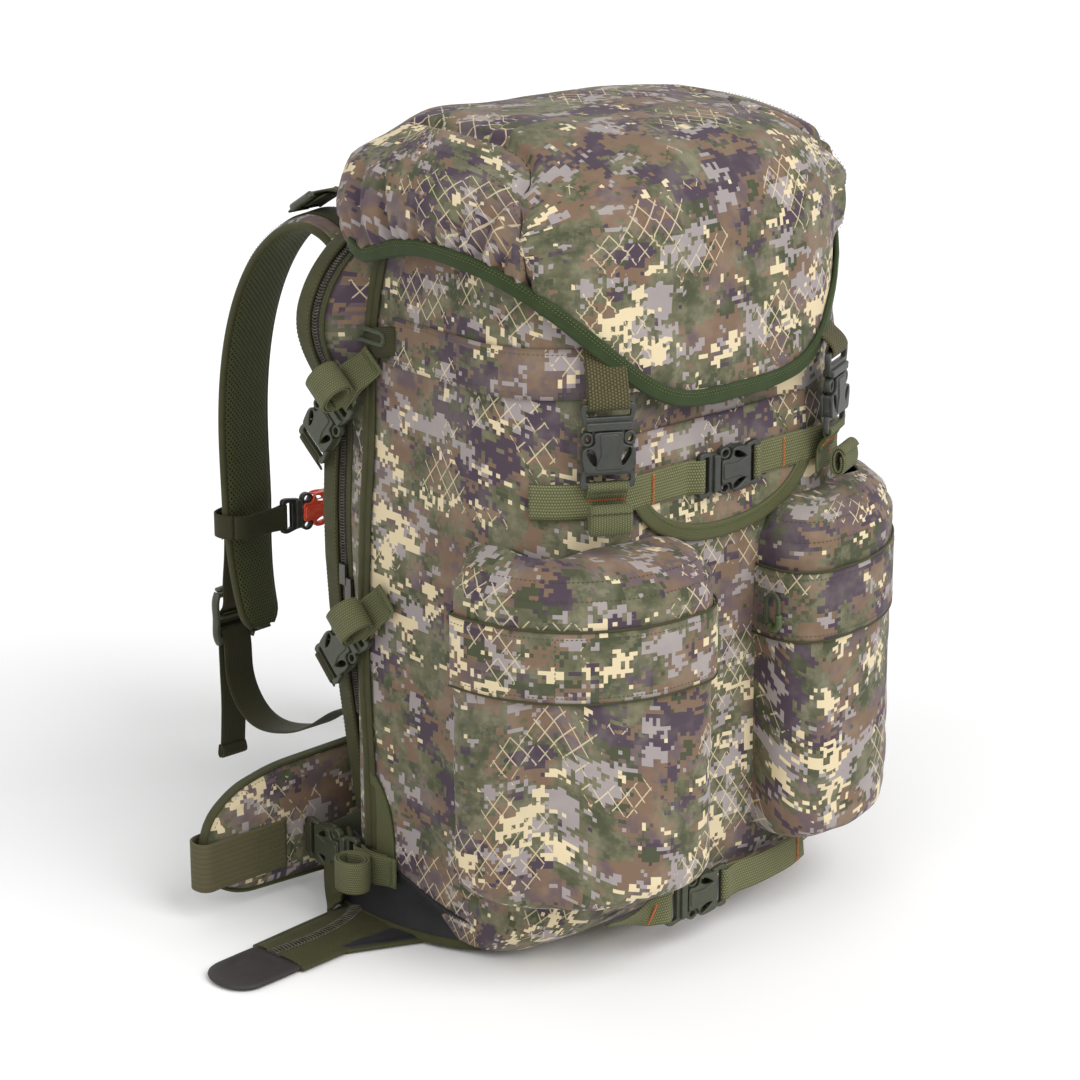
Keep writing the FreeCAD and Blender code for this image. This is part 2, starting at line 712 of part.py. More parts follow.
def pocket_volume(inset, low, high, round_low, round_high):
    """Pocket solid between two heights; each end may be rounded in steps."""
    steps = ((1.0, 0.0), (0.62, 0.08), (0.3, 0.32), (0.1, 0.62), (0.0, 1.0))
    wires = []
    if round_low:
        for draw_in, rise in steps:
            wires.append(pocket_wire(low + rise * round_low, inset + draw_in * round_low))
    else:
        wires.append(pocket_wire(low, inset))
    if round_high:
        for draw_in, rise in steps[::-1]:
            wires.append(pocket_wire(high - rise * round_high, inset + draw_in * round_high))
    else:
        wires.append(pocket_wire(high, inset))
    return loft(wires)


def make_pockets():
    behind = bag_body(-0.6, bag_floor_z, bag_rim_z)
    body = pocket_volume(0.0, pocket_floor_z, pocket_seam_z - joint_gap, pocket_round, 0.0)
    room = pocket_volume(pocket_wall, pocket_floor_z + pocket_wall, pocket_seam_z + 1.0, pocket_round, 0.0)
    inner_wall = bag_body(-0.6 - pocket_wall, bag_floor_z, bag_rim_z)
    pocket = body.cut(room.cut(inner_wall)).cut(behind)
    rounding = pocket_top_z - pocket_seam_z - 14.0
    cap_outer = pocket_volume(0.0, pocket_seam_z, pocket_top_z, 0.0, rounding)
    cap_inner = pocket_volume(pocket_wall, pocket_seam_z - 1.0, pocket_top_z - pocket_wall, 0.0, rounding)
    band_low = pocket_seam_z - band_drop
    band_outer = pocket_volume(-band_proud, band_low, pocket_seam_z + 3.0, 0.0, 0.0)
    band_inner = pocket_volume(-band_proud + band_wall, band_low - 1.0, pocket_seam_z + 4.0, 0.0, 0.0)
    bridge = band_outer.common(box(-300, 0, -300, 0, pocket_seam_z, pocket_seam_z + 3.0))
    top = cap_outer.fuse(bridge).cut(cap_inner).fuse(band_outer.cut(band_inner)).cut(behind)
    split = bag_front_y - 4.0
    ahead = box(-300, 0, -300, split, 0, 600)
    beside = box(-300, 0, split + joint_gap, 0, 0, 600)
    lid = top.common(ahead)
    side = top.common(beside)
    for name, flip in (("left", False), ("right", True)):
        pocket_part = group([pocket, side])
        save("pocket_" + name, mirrored(pocket_part) if flip else pocket_part)
        save("pocket_lid_" + name, mirrored(lid) if flip else lid)


def cord_loop(length, width):
    """A closed cord loop in its own frame: hangs along -z from the origin, flat in the y direction."""
    half = width / 2
    low = -length + half
    path = Part.Wire([
        Part.LineSegment(Vec(0, -half, -half), Vec(0, -half, low)).toShape(),
        Part.Arc(Vec(0, -half, low), Vec(0, 0, low - half), Vec(0, half, low)).toShape(),
        Part.LineSegment(Vec(0, half, low), Vec(0, half, -half)).toShape(),
        Part.Arc(Vec(0, half, -half), Vec(0, 0, 0), Vec(0, -half, -half)).toShape(),
    ])
    circle = Part.Wire(Part.makeCircle(pull_cord_radius, Vec(0, -half, -half), Vec(0, 0, -1)))
    return path.makePipeShell([circle], True, True, 1)


def make_pulls():
    """Cord pulls: one on the inner side of each pocket, one at the end of the top strip."""
    x = pocket_inner_x - band_proud - pull_cord_radius - 2.0
    y = pocket_front_y + 26.0
    z = pocket_seam_z - 16.0
    for name, side in (("left", -1), ("right", 1)):
        loop = cord_loop(pull_length, pull_width)
        loop.translate(Vec(side * x, y, z))
        save("pocket_pull_" + name, loop)
    loop = cord_loop(46.0, 9.0)
    loop.rotate(Vec(0, 0, 0), Vec(1, 0, 0), 90)
    loop.translate(Vec(-side_at(band_pull_z) - 6.0, band_end_y + 3.0, band_pull_z))
    save("band_pull", loop)


# ---- straps across the front ----------------------------------------------------------------------------

def make_cross_strap():
    """Chest-high strap across the front: two webbings and a side-release buckle."""
    y = front_at(cross_z) - strap_stand - web_thick / 2 - over_bar()
    middle = (female_body + ladder_length - male_base - ladder_length) / 2
    inward = (0.0, 1.0, -upper_lean / (bag_rim_z - upper_z))
    frame = ((-middle, y, cross_z), (1.0, 0.0, 0.0), inward)
    skin = bag_body(-strap_stand - web_thick, bag_floor_z, bag_rim_z)
    skin = skin.cut(bag_body(-strap_stand, bag_floor_z, bag_rim_z))
    low = cross_z - cross_web / 2
    ends = ((-cross_left_end, male_web_end() - middle), (female_web_end() - middle, cross_right_end))
    webs = [skin.common(box(x0, x1, -300.0, -20.0, low, low + cross_web)) for x0, x1 in ends]
    save("cross_straps", group(webs))
    save("cross_buckle_male", placed(male_half(cross_web), *frame))
    save("cross_buckle_female", placed(female_half(cross_web), *frame))


def make_bottom_strap():
    """Strap under the pockets that holds a load against the bag's bottom edge."""
    y = bag_front_y - strap_stand - web_thick / 2 - over_bar()
    frame = ((bottom_buckle_x, y, bottom_strap_z), (1.0, 0.0, 0.0), (0.0, 1.0, 0.0))
    left = web_run(-bottom_half_length - bottom_buckle_x, male_web_end(), cross_web)
    right = web_run(female_web_end(), bottom_half_length - bottom_buckle_x, cross_web)
    save("bottom_straps", group([placed(left, *frame), placed(right, *frame)]))
    save("bottom_buckle_male", placed(male_half(cross_web), *frame))
    save("bottom_buckle_female", placed(female_half(cross_web), *frame))


# ---- side compression straps ----------------------------------------------------------------------------

def side_frame(side, y, z, slope):
    """Side straps run back and down, just outside the panel's edge."""
    x = bag_half_width + side_stand + buckle_thick / 2
    fall = math.radians(slope)
    return (side * x, y, z), (0.0, math.cos(fall), -math.sin(fall)), (side, 0.0, 0.0)


def along_xz_local(y):
    """Paths in the buckle's frame, given as (x, z)."""
    return lambda u, v: Vec(u, y, v)


def make_side_straps():
    webs = []
    sockets = []
    for level, mouth_y, mouth_z, slope in side_levels:
        for name, side in (("left", -1), ("right", 1)):
            frame = side_frame(side, mouth_y, mouth_z, slope)
            lift = over_bar()
            stop = male_web_end()
            roll_x = -side_roll_ahead
            seam_z = mouth_z - roll_x * math.sin(math.radians(slope))
            root = side_at(seam_z) + 2 * piping_radius + web_thick - frame[0][0] * side
            rise = [(roll_x - 23.0, root), (roll_x - 19.0, root + 1.0), (roll_x - 12.5, (root + lift) / 2),
                    (roll_x - 6.0, lift), (roll_x - 3.0, lift + 0.3), (roll_x + 1.0, lift + 0.2), (stop, lift)]
            stub = smooth_strip(rise, web_thick, along_xz_local(-side_web / 2), Vec(0, side_web, 0))
            roll = webbing_roll(2 * side_roll_radius + 4.0, 2 * side_roll_radius, side_web)
            roll.translate(Vec(roll_x, 0, lift + web_thick / 2 + side_roll_radius + web_lift))
            end = female_body + ladder_length
            tail = web_run(female_web_end(), end + 3.0, side_web)
            sockets.append(placed(female_half(side_web), *frame))
            save("side_buckle_male_%s_%s" % (level, name), placed(male_half(side_web), *frame))
            for piece in (stub, roll, tail):
                webs.append(placed(piece, *frame))
    save("side_straps", group(webs))
    save("side_buckle_females", group(sockets))


# ---- shoulder harness -----------------------------------------------------------------------------------

shoulder_path = [(157.0, 478.0), (168.0, 504.0), (196.0, 518.0), (234.0, 509.0), (268.0, 481.0),
                 (296.0, 436.0), (311.0, 388.0), (317.0, 335.0), (316.0, 280.0), (314.0, 230.0),
                 (308.0, 190.0), (299.0, 162.0)]


def make_shoulders():
    x0 = -shoulder_x - shoulder_width / 2
    path = [(y - shoulder_skew / 2, z) for y, z in shoulder_path]
    pad = smooth_strip(path, shoulder_thick, along_yz(x0), Vec(shoulder_width, shoulder_skew, 0))
    tip = prism_xz([(x0 - 5.0, shoulder_taper_z), (x0 + shoulder_width + 5.0, shoulder_taper_z),
                    (x0 + shoulder_width * 0.76, 100.0), (x0 + shoulder_width * 0.24, 100.0)], 100.0, 500.0)
    pad = pad.common(tip.fuse(box(x0 - 5.0, x0 + shoulder_width + 5.0, 100.0, 500.0, shoulder_taper_z, 600.0)))
    pad = round_edges(pad, 5.0, lambda edge: edge.Curve.TypeId == "Part::GeomBSplineCurve")
    save("shoulder_pad_left", pad)
    save("shoulder_pad_right", mirrored(pad))
    adjusters = []
    webs = []
    end_y, end_z = shoulder_path[-1]
    y = end_y + shoulder_thick / 2 + shoulder_skew / 2 + adjuster_thick / 2 + adjuster_stand
    high = end_z + 24.0
    low = high - adjuster_length
    for side in (-1, 1):
        middle = side * shoulder_x
        frame = box(middle - adjuster_width / 2, middle + adjuster_width / 2, y - adjuster_thick / 2,
                    y + adjuster_thick / 2, low, high)
        half = shoulder_web / 2 + 1.0
        for z0 in (low + 5.0, low + 24.0):
            frame = frame.cut(box(middle - half, middle + half, y - 10, y + 10, z0, z0 + 14.0))
        adjusters.append(frame)
        start = middle - shoulder_web / 2
        inner = y - adjuster_thick / 2 - web_thick
        upper = [(inner - 3.4, high + 66.0), (inner - 1.0, high + 30.0), (inner, low + 22.0)]
        adjusters.append(smooth_strip(upper, web_thick, along_yz(start), Vec(shoulder_web, 0, 0)))
        outer = y + adjuster_thick / 2 + web_thick
        hang = [(outer, low + 18.0), (outer + 1.0, low - 30.0), (outer - 2.0, low - 100.0)]
        adjusters.append(smooth_strip(hang, web_thick, along_yz(start), Vec(shoulder_web, 0, 0)))
        loop = [(y - 2.0, low - 1.0), (y - 6.0, low - 30.0), (y - 30.0, low - 58.0), (y - 74.0, low - 57.0),
                (y - 118.0, low - 37.0), (pad_rear_y + 1.6, wing_root_high + 9.0)]
        webs.append(smooth_strip(loop, web_thick, along_yz(start), Vec(shoulder_web, 0, 0)))
    save("shoulder_webs", group(webs))
    save("strap_adjusters", group(adjusters))


def make_load_lifters():
    """Short webbings from the crest of each shoulder strap up to the panel's top."""
    lifters = []
    for side in (-1, 1):
        start = side * shoulder_x - lifter_web / 2
        top = panel_top_z - lifter_root_below
        crest_y, crest_z = shoulder_path[3]
        path = [(panel_rear_y + 1.4, top), (panel_rear_y + 10.0, top + 22.0),
                (panel_rear_y + 34.0, top + 35.0), (crest_y - 28.0, crest_z + 31.0), (crest_y + 4.0, crest_z + 11.0)]
        lifters.append(smooth_strip(path, web_thick, along_yz(start), Vec(lifter_web, 0, 0)))
    save("load_lifters", group(lifters))


def make_sternum():
    """Chest strap between the shoulder straps, closed by a whistle buckle."""
    y = sternum_y
    mouth_x = sternum_mouth_x
    frame = ((mouth_x, y, sternum_z), (1.0, 0.0, 0.0), (0.0, -1.0, 0.0))
    outer = shoulder_x + shoulder_width / 2 - 4.0
    left = web_run(-outer - mouth_x, male_web_end(), sternum_web)
    right = web_run(female_web_end(), outer - mouth_x, sternum_web)
    save("sternum_straps", group([placed(left, *frame), placed(right, *frame)]))
    save("sternum_buckle_male", placed(male_half(sternum_web), *frame))
    save("sternum_buckle_female", placed(female_half(sternum_web), *frame))


def make_haul_loop():
    """Grab loop at the top of the panel, hanging against the upper pad."""
    half = haul_length
    path = [(-half, 0.0), (-half * 0.96, -16.0), (-half * 0.55, -27.0), (0.0, -30.0), (half * 0.55, -27.0),
            (half * 0.96, -16.0), (half, 0.0)]
    loop = smooth_strip(path, 3.0, lambda u, v: Vec(u, -haul_web / 2, v), Vec(0, haul_web, 0))
    loop.rotate(Vec(0, 0, 0), Vec(1, 0, 0), haul_tilt)
    loop.translate(Vec(0, panel_rear_y + haul_web / 2 + 2.0, haul_z))
    save("haul_loop", loop)


# ---- hip belt -------------------------------------------------------------------------------------------

def make_hip():
    front = pad_rear_y + wing_gap
    rear = front + wing_thick
    tip = wing_root_x + wing_reach
    points = [(-wing_root_x, wing_root_low), (-wing_root_x, wing_root_high), (-tip + 70.0, wing_root_high - 2.0),
              (-tip + 33.0, wing_root_high - 10.0), (-tip + 9.0, wing_root_high - 27.0),
              (-tip, wing_root_high - 51.0), (-tip + 10.0, 26.0), (-tip + 34.0, 14.0)]
    wing = prism_xz(points, front, rear)
    z0 = hip_web_z - hip_web / 2
    x_end = -tip - hip_web_overhang
    face = front - web_thick / 2 - joint_gap
    path = [(-tip + 72.0, face), (-tip + 40.0, face), (-tip + 20.0, face), (-tip + 7.0, face - 0.2),
            (-tip - 2.0, face - 0.4),
            (x_end + 1.2, front + 1.6), (x_end, (front + rear) / 2), (x_end + 1.2, rear - 0.2),
            (-tip - 2.0, rear + 3.0), (-tip + 10.0, rear + 4.4), (-tip + 40.0, rear + 6.0), (-tip + 62.0, rear + 6.0)]
    web = smooth_strip(path, web_thick, along_xy(z0), Vec(0, 0, hip_web))
    for name, flip in (("left", False), ("right", True)):
        save("hip_wing_" + name, mirrored(wing) if flip else wing)
        save("hip_web_" + name, mirrored(web) if flip else web)
    y = rear + 6.0 + web_thick / 2 + over_bar()
    x = tip - 62.0 - 4.0
    female = placed(female_half(hip_web), (-x + 46.0, y, hip_web_z), (-1.0, 0.0, 0.0), (0.0, 1.0, 0.0))
    male = placed(male_half(hip_web), (x - 26.0, y, hip_web_z), (-1.0, 0.0, 0.0), (0.0, 1.0, 0.0))
    save("hip_buckle_female", female)
    save("hip_buckle_male", male)


def make_tongues():
    """Zip-end tongues that stick out sideways at the panel's foot, with rubbery caps."""
    half = tongue_width / 2
    cap_start = tongue_length - tongue_cap_length
    outline = [(0.0, half + 3.0), (-cap_start, half), (-cap_start, -half), (-tongue_flare, -half),
               (0.0, -half - 29.0)]
    corners = [Vec(x, y, 0) for x, y in outline]
    body = Part.Face(Part.makePolygon(corners + corners[:1])).extrude(Vec(0, 0, tongue_thick))
    cap = box(-tongue_length, -cap_start - 0.2, -half - 1.0, half + 1.0, 0.0, tongue_thick + 1.0)
    cap = round_edges(cap, half - 2.0, lambda edge: runs_along(Vec(0, 0, 1))(edge)
                      and edge.CenterOfMass.x < -tongue_length + 1.0)
    tongue = group([body, cap])
    tongue.rotate(Vec(0, 0, 0), Vec(0, 0, 1), tongue_turn)
    tongue.translate(Vec(-tongue_root_x, tongue_root_y, 0.0))
    save("tongue_left", tongue)
    save("tongue_right", mirrored(tongue))


bag_solid = make_bag()
make_collar()
make_frame()
make_sling()
make_panel()
make_zip_sliders()
make_side_bindings(bag_solid)
make_lid()
make_lid_straps()
make_front_trim(bag_solid)
make_pockets()
make_pulls()
make_cross_strap()
make_bottom_strap()
make_side_straps()
make_shoulders()
make_load_lifters()
make_sternum()
make_haul_loop()
make_hip()
make_tongues()

os.makedirs("parts", exist_ok=True)
for name, shape in nodes.items():
    shape.exportStep("parts/" + name + ".step")
    solids = len(shape.Solids)
    print("%-26s solids %2d  volume %9.0f  valid %s" % (name, solids, shape.Volume, shape.isValid()))
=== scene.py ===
import bmesh
import bpy
import math
import numpy as np
from mathutils import Matrix, Vector


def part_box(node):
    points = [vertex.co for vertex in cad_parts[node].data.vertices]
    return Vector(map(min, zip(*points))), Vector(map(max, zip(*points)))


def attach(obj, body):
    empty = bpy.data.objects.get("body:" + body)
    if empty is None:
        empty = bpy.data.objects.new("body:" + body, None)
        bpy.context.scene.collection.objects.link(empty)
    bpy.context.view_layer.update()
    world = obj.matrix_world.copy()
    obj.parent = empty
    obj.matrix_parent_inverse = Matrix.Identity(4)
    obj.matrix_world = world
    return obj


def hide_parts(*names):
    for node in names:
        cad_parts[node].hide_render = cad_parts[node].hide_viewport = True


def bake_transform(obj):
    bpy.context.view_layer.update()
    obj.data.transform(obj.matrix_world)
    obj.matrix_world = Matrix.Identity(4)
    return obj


# Looks of the camouflage hunting backpack. Lengths in this file are millimetres, like the CAD's, and become
# metres when a piece is made. +Z is up, the bag's front faces -Y, the wearer is on +Y.

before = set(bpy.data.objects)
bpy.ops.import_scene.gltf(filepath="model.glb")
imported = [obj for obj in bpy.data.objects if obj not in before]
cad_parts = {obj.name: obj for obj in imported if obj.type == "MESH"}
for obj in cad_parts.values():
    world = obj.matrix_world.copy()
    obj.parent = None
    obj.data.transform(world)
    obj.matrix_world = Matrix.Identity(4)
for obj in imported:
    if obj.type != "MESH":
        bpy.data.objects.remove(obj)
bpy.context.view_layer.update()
MM = 0.001


# ==== shapes ================================================================================================

class Mesh:
    """Surfaces of one piece. Every face has cloth coordinates in millimetres and a material number."""

    def __init__(self):
        self.points = []
        self.faces = {3: [], 4: []}
        self.coords = {3: [], 4: []}
        self.mats = {3: [], 4: []}
        self.count = 0

    def add(self, points, faces, coords, mat=0):
        faces = np.asarray(faces)
        sides = faces.shape[1]
        self.points.append(np.asarray(points, float).reshape(-1, 3))
        self.faces[sides].append(faces + self.count)
        self.coords[sides].append(np.asarray(coords, float))
        self.mats[sides].append(np.broadcast_to(mat, len(faces)))
        self.count += len(self.points[-1])

    def more(self, faces, coords, start, mat=0):
        """Faces over points that were added before, the first of them at start."""
        faces = np.asarray(faces)
        sides = faces.shape[1]
        self.faces[sides].append(faces + start)
        self.coords[sides].append(np.asarray(coords, float))
        self.mats[sides].append(np.broadcast_to(mat, len(faces)))

    def shell(self, points, coords, thick, wrap=False, mat=0, inside=1, closed_foot=False):
        """A sheet with thickness, its edges turned in. points, rows by columns, is the outer face."""
        rows, columns = points.shape[:2]
        inner = points - normals(points, wrap) * thick
        start = self.count
        faces, corners = quads((rows, columns), coords, wrap)
        self.add(points, faces, corners, mat)
        self.add(inner, faces[:, ::-1], corners[:, ::-1], inside)
        index = np.arange(rows * columns).reshape(rows, columns)
        offset = rows * columns
        borders = [(index[-1], coords[-1])]
        if closed_foot:
            self.fan(points[0], start, mat)
            self.fan(inner[0], start + offset, inside)
        else:
            borders.append((index[0][::-1], coords[0][::-1]))
        if not wrap:
            borders.append((index[:, -1][::-1], coords[:, -1][::-1]))
            borders.append((index[:, 0], coords[:, 0]))
        for edge, along in borders:
            if wrap:
                edge = np.append(edge, edge[0])
            strip = np.stack([edge[:-1], edge[1:], edge[1:] + offset, edge[:-1] + offset], -1)
            flat = np.stack([along[:-1], along[1:], along[1:], along[:-1]], 1)
            self.more(strip, flat[:len(strip)], start, mat)

    def fan(self, ring, start, mat=0):
        """Closes a ring of points, whose numbers run from start, with a middle point."""
        count = len(ring)
        middle = ring.mean(0)
        number = self.count - start
        self.points.append(middle.reshape(1, 3))
        self.count += 1
        a = np.arange(count)
        b = (a + 1) % count
        faces = np.stack([b, a, np.full(count, number)], -1)
        span = ring - middle
        flat = np.stack([span[b, :2], span[a, :2], np.zeros((count, 2))], 1)
        self.more(faces, flat, start, mat)

    def sweep(self, path, normal, section, mat=0, closed=False, shift=(0.0, 0.0), scale=None, mats=None):
        """A closed section carried along a path. section is (across, outward) points, anticlockwise."""
        path = np.asarray(path, float)
        section = np.asarray(section, float)
        tangent = directions(path, closed)
        normal = np.broadcast_to(np.asarray(normal, float), path.shape)
        across = unit(np.cross(tangent, normal))
        normal = np.cross(across, tangent)
        size = np.ones(len(path)) if scale is None else np.asarray(scale, float)
        sized = section[None] * size.reshape(len(path), 1, -1)
        points = path[:, None] + sized[..., :1] * across[:, None] + sized[..., 1:] * normal[:, None]
        along = lengths(path, closed) + shift[1]
        around = np.append(section[:, 0], section[0, 0]) + shift[0]
        coords = np.stack(np.meshgrid(around, along), -1)
        if closed:
            points = np.concatenate([points, points[:1]])
        start = self.count
        faces, corners = quads(points.shape[:2], coords, True)
        if closed:
            rows, columns = points.shape[:2]
            faces = faces % ((rows - 1) * columns)
            points = points[:-1]
        pick = mat if mats is None else np.tile(mats, len(faces) // len(section))
        self.add(points, faces, corners, pick)
        if not closed:
            for ring, at in ((points[0], start), (points[-1], start + points[:-1].size // 3)):
                self.fan(ring, at, mat)

    def stitches(self, path, normal, mat=0, pitch=3.4, length=2.3, radius=0.42):
        """A row of thread stitches that lie on a surface."""
        height = 0.32
        path = np.asarray(path, float)
        if len(path) < 2:
            return
        total = lengths(path)
        at = np.arange(pitch / 2, total[-1], pitch)
        normal = np.broadcast_to(np.asarray(normal, float), path.shape)
        place = resample(at, total, path)
        out = unit(resample(at, total, normal))
        along = unit(resample(at, total, directions(path)))
        side = np.cross(along, out)
        place = place + out * height * 0.6
        half = length / 2
        ring = [along * -half, side * radius, out * height, -side * radius, -out * height, along * half]
        points = np.stack([place + step for step in ring], 1).reshape(-1, 3)
        tri = np.array([(0, 2, 1), (0, 3, 2), (0, 4, 3), (0, 1, 4), (5, 1, 2), (5, 2, 3), (5, 3, 4), (5, 4, 1)])
        faces = (np.arange(len(place))[:, None, None] * 6 + tri[None]).reshape(-1, 3)
        self.add(points, faces, np.zeros((len(faces), 3, 2)), mat)

    def data(self, name):
        """The piece's Blender mesh, in metres, with the cloth coordinates as its UV map."""
        points = np.concatenate(self.points) * MM
        mesh = bpy.data.meshes.new(name)
        loops = []
        starts = []
        totals = []
        coords = []
        mats = []
        begin = 0
        for sides in (3, 4):
            if self.faces[sides]:
                faces = np.concatenate(self.faces[sides])
                loops.append(faces.ravel())
                starts.append(begin + np.arange(len(faces)) * sides)
                totals.append(np.full(len(faces), sides))
                coords.append(np.concatenate(self.coords[sides]).reshape(-1, 2))
                mats.append(np.concatenate(self.mats[sides]))
                begin += faces.size
        loops = np.concatenate(loops)
        mesh.vertices.add(len(points))
        mesh.vertices.foreach_set("co", points.ravel())
        mesh.loops.add(len(loops))
        mesh.loops.foreach_set("vertex_index", loops.astype(np.int32))
        starts = np.concatenate(starts)
        mesh.polygons.add(len(starts))
        mesh.polygons.foreach_set("loop_start", starts.astype(np.int32))
        mesh.polygons.foreach_set("loop_total", np.concatenate(totals).astype(np.int32))
        mesh.update(calc_edges=True)
        cloth = mesh.uv_layers.new(name="cloth")
        cloth.uv.foreach_set("vector", np.concatenate(coords).ravel().astype(np.float32))
        mesh.polygons.foreach_set("material_index", np.concatenate(mats).astype(np.int32))
        mesh.polygons.foreach_set("use_smooth", np.ones(len(starts), bool))
        mesh.validate()
        return mesh


def unit(v):
    """Vectors scaled to a length of one."""
    return v / np.maximum(np.linalg.norm(v, axis=-1, keepdims=True), 1e-12)


def quads(shape, coords, wrap):
    """Faces of a grid of points and the cloth coordinates of their corners."""
    rows, columns = shape
    index = np.arange(rows * columns).reshape(rows, columns)
    if wrap:
        index = np.concatenate([index, index[:, :1]], 1)
    faces = np.stack([index[:-1, :-1], index[:-1, 1:], index[1:, 1:], index[1:, :-1]], -1).reshape(-1, 4)
    corners = np.stack([coords[:-1, :-1], coords[:-1, 1:], coords[1:, 1:], coords[1:, :-1]], 2).reshape(-1, 4, 2)
    return faces, corners


def normals(points, wrap=False):
    """Outward normals of a grid whose columns run anticlockwise, seen from above, and whose rows run up."""
    if wrap:
        across = np.roll(points, -1, 1) - np.roll(points, 1, 1)
    else:
        across = np.gradient(points, axis=1)
    up = np.gradient(points, axis=0)
    return unit(np.cross(across, up))


def directions(path, closed=False):
    """Unit directions of a path at its points."""
    if closed:
        return unit(np.roll(path, -1, 0) - np.roll(path, 1, 0))
    return unit(np.gradient(path, axis=0))


def lengths(path, closed=False):
    """Distance along a path at each of its points, and at its end if it is closed."""
    points = np.concatenate([path, path[:1]]) if closed else path
    return np.concatenate([[0.0], np.cumsum(np.linalg.norm(np.diff(points, axis=0), axis=1))])


def clamp(value):
    return np.clip(value, 0, 1)


def resample(at, known, values):
    """Rows of values, known at some distances, read at others."""
    return np.stack([np.interp(at, known, values[:, k]) for k in range(values.shape[1])], -1)


def outline_normals(line):
    """Outward directions of an outline that is drawn in x and z, or in x and y, as points in space."""
    return unit(np.stack([np.gradient(line[:, 1]), 0 * line[:, 0], -np.gradient(line[:, 0])], -1))


def smooth(points, step=4.0):
    """A smooth line through a few points, with a point about every step."""
    points = np.asarray(points, float)
    at = lengths(points)
    count = len(points)
    matrix = np.zeros((count, count))
    right = np.zeros_like(points)
    matrix[0, 0] = matrix[-1, -1] = 1.0
    for i in range(1, count - 1):
        before, after = at[i] - at[i - 1], at[i + 1] - at[i]
        matrix[i, i - 1:i + 2] = before, 2 * (before + after), after
        right[i] = 6 * ((points[i + 1] - points[i]) / after - (points[i] - points[i - 1]) / before)
    bend = np.linalg.solve(matrix, right)
    t = np.linspace(0.0, at[-1], max(int(at[-1] / step), 2) + 1)
    i = np.clip(np.searchsorted(at, t) - 1, 0, count - 2)
    span = (at[i + 1] - at[i])[:, None]
    a = (at[i + 1] - t)[:, None] / span
    b = 1.0 - a
    curve = a * points[i] + b * points[i + 1]
    return curve + ((a ** 3 - a) * bend[i] + (b ** 3 - b) * bend[i + 1]) * span ** 2 / 6


def even(path, step):
    """The same line with evenly spaced points."""
    at = lengths(path)
    t = np.linspace(0.0, at[-1], max(int(at[-1] / step), 1) + 1)
    return resample(t, at, path)


def noise(points, size, seed):
    """Smooth noise between -1 and 1 whose features are about that size."""
    p = np.asarray(points, float) / size + seed * 17.31
    cell = np.floor(p).astype(np.int64)
    part = p - cell
    part = part * part * (3 - 2 * part)
    total = 0.0
    for corner in range(8):
        step = np.array([corner & 1, corner >> 1 & 1, corner >> 2 & 1])
        at = cell + step
        mixed = (at[..., 0] * 374761393 + at[..., 1] * 668265263 + at[..., 2] * 1440662683 + seed * 974634777)
        mixed &= 0xFFFFFFFF
        mixed = (mixed ^ mixed >> 13) * 1274126177 & 0xFFFFFFFF
        value = (mixed ^ mixed >> 16) / 2147483647.5 - 1
        total = total + value * np.prod(np.where(step, part, 1 - part), -1)
    return total


def blur(points, rounds, wrap=False):
    """Evens out a grid of points, its first and last rows held."""
    out = points.copy()
    for _ in range(rounds):
        if wrap:
            side = (np.roll(out, 1, 1) + np.roll(out, -1, 1)) / 2
        else:
            side = out.copy()
            side[:, 1:-1] = (out[:, :-2] + out[:, 2:]) / 2
        new = (out * 2 + side) / 3
        new[1:-1] = (out[:-2] + out[2:] + side[1:-1] * 2) / 4
        new[0], new[-1] = out[0], out[-1]
        out = new
    return out


def tape(width, thick, columns=8):
    """Section of a flat webbing with slightly rounded edges."""
    half = width / 2
    across = np.linspace(half - thick * 0.3, -half + thick * 0.3, columns)
    top = [(x, thick / 2) for x in across]
    bottom = [(-x, -thick / 2) for x in across]
    return [(half, 0.0)] + top + [(-half, 0.0)] + bottom


def ring(radius, sides=10, flat=1.0):
    """Round or oval section."""
    turn = np.arange(sides) * 2 * math.pi / sides
    return np.stack([np.cos(turn) * radius, np.sin(turn) * radius * flat], -1)


def near(points, a, b):
    """Distance of points from the segment between a and b."""
    a, b = np.asarray(a, float), np.asarray(b, float)
    way = b - a
    t = clamp(((points - a) @ way) / (way @ way))
    return np.linalg.norm(points - a - t[..., None] * way, axis=-1)


def folds(points, lines):
    """Depth of creases: each line is (from, to, width, depth)."""
    return sum(depth * np.exp(-(near(points, a, b) / width) ** 2) for a, b, width, depth in lines)


# ==== pieces ================================================================================================

def piece(mesh, name, materials, body=None, stands_for=(), bend=None):
    """Make the object and give it its finish; fix it to its body, or, when bend is given, leave it without a body,
    its placement baked in.
    """
    data = mesh.data(name)
    work = bmesh.new()
    work.from_mesh(data)
    bmesh.ops.recalc_face_normals(work, faces=work.faces)
    work.to_mesh(data)
    work.free()
    thing = bpy.data.objects.new(name, data)
    bpy.context.scene.collection.objects.link(thing)
    for material in materials:
        data.materials.append(material)
    if bend:
        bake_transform(thing)
    else:
        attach(thing, body)
    if stands_for:
        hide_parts(*stands_for)
    return thing


# ==== materials =============================================================================================

def tone(red, green, blue):
    """A colour as it looks on a screen, 0 to 255, for a shader."""
    return tuple((c / 255 / 12.92 if c <= 10 else ((c / 255 + 0.055) / 1.055) ** 2.4)
                 for c in (red, green, blue)) + (1.0,)


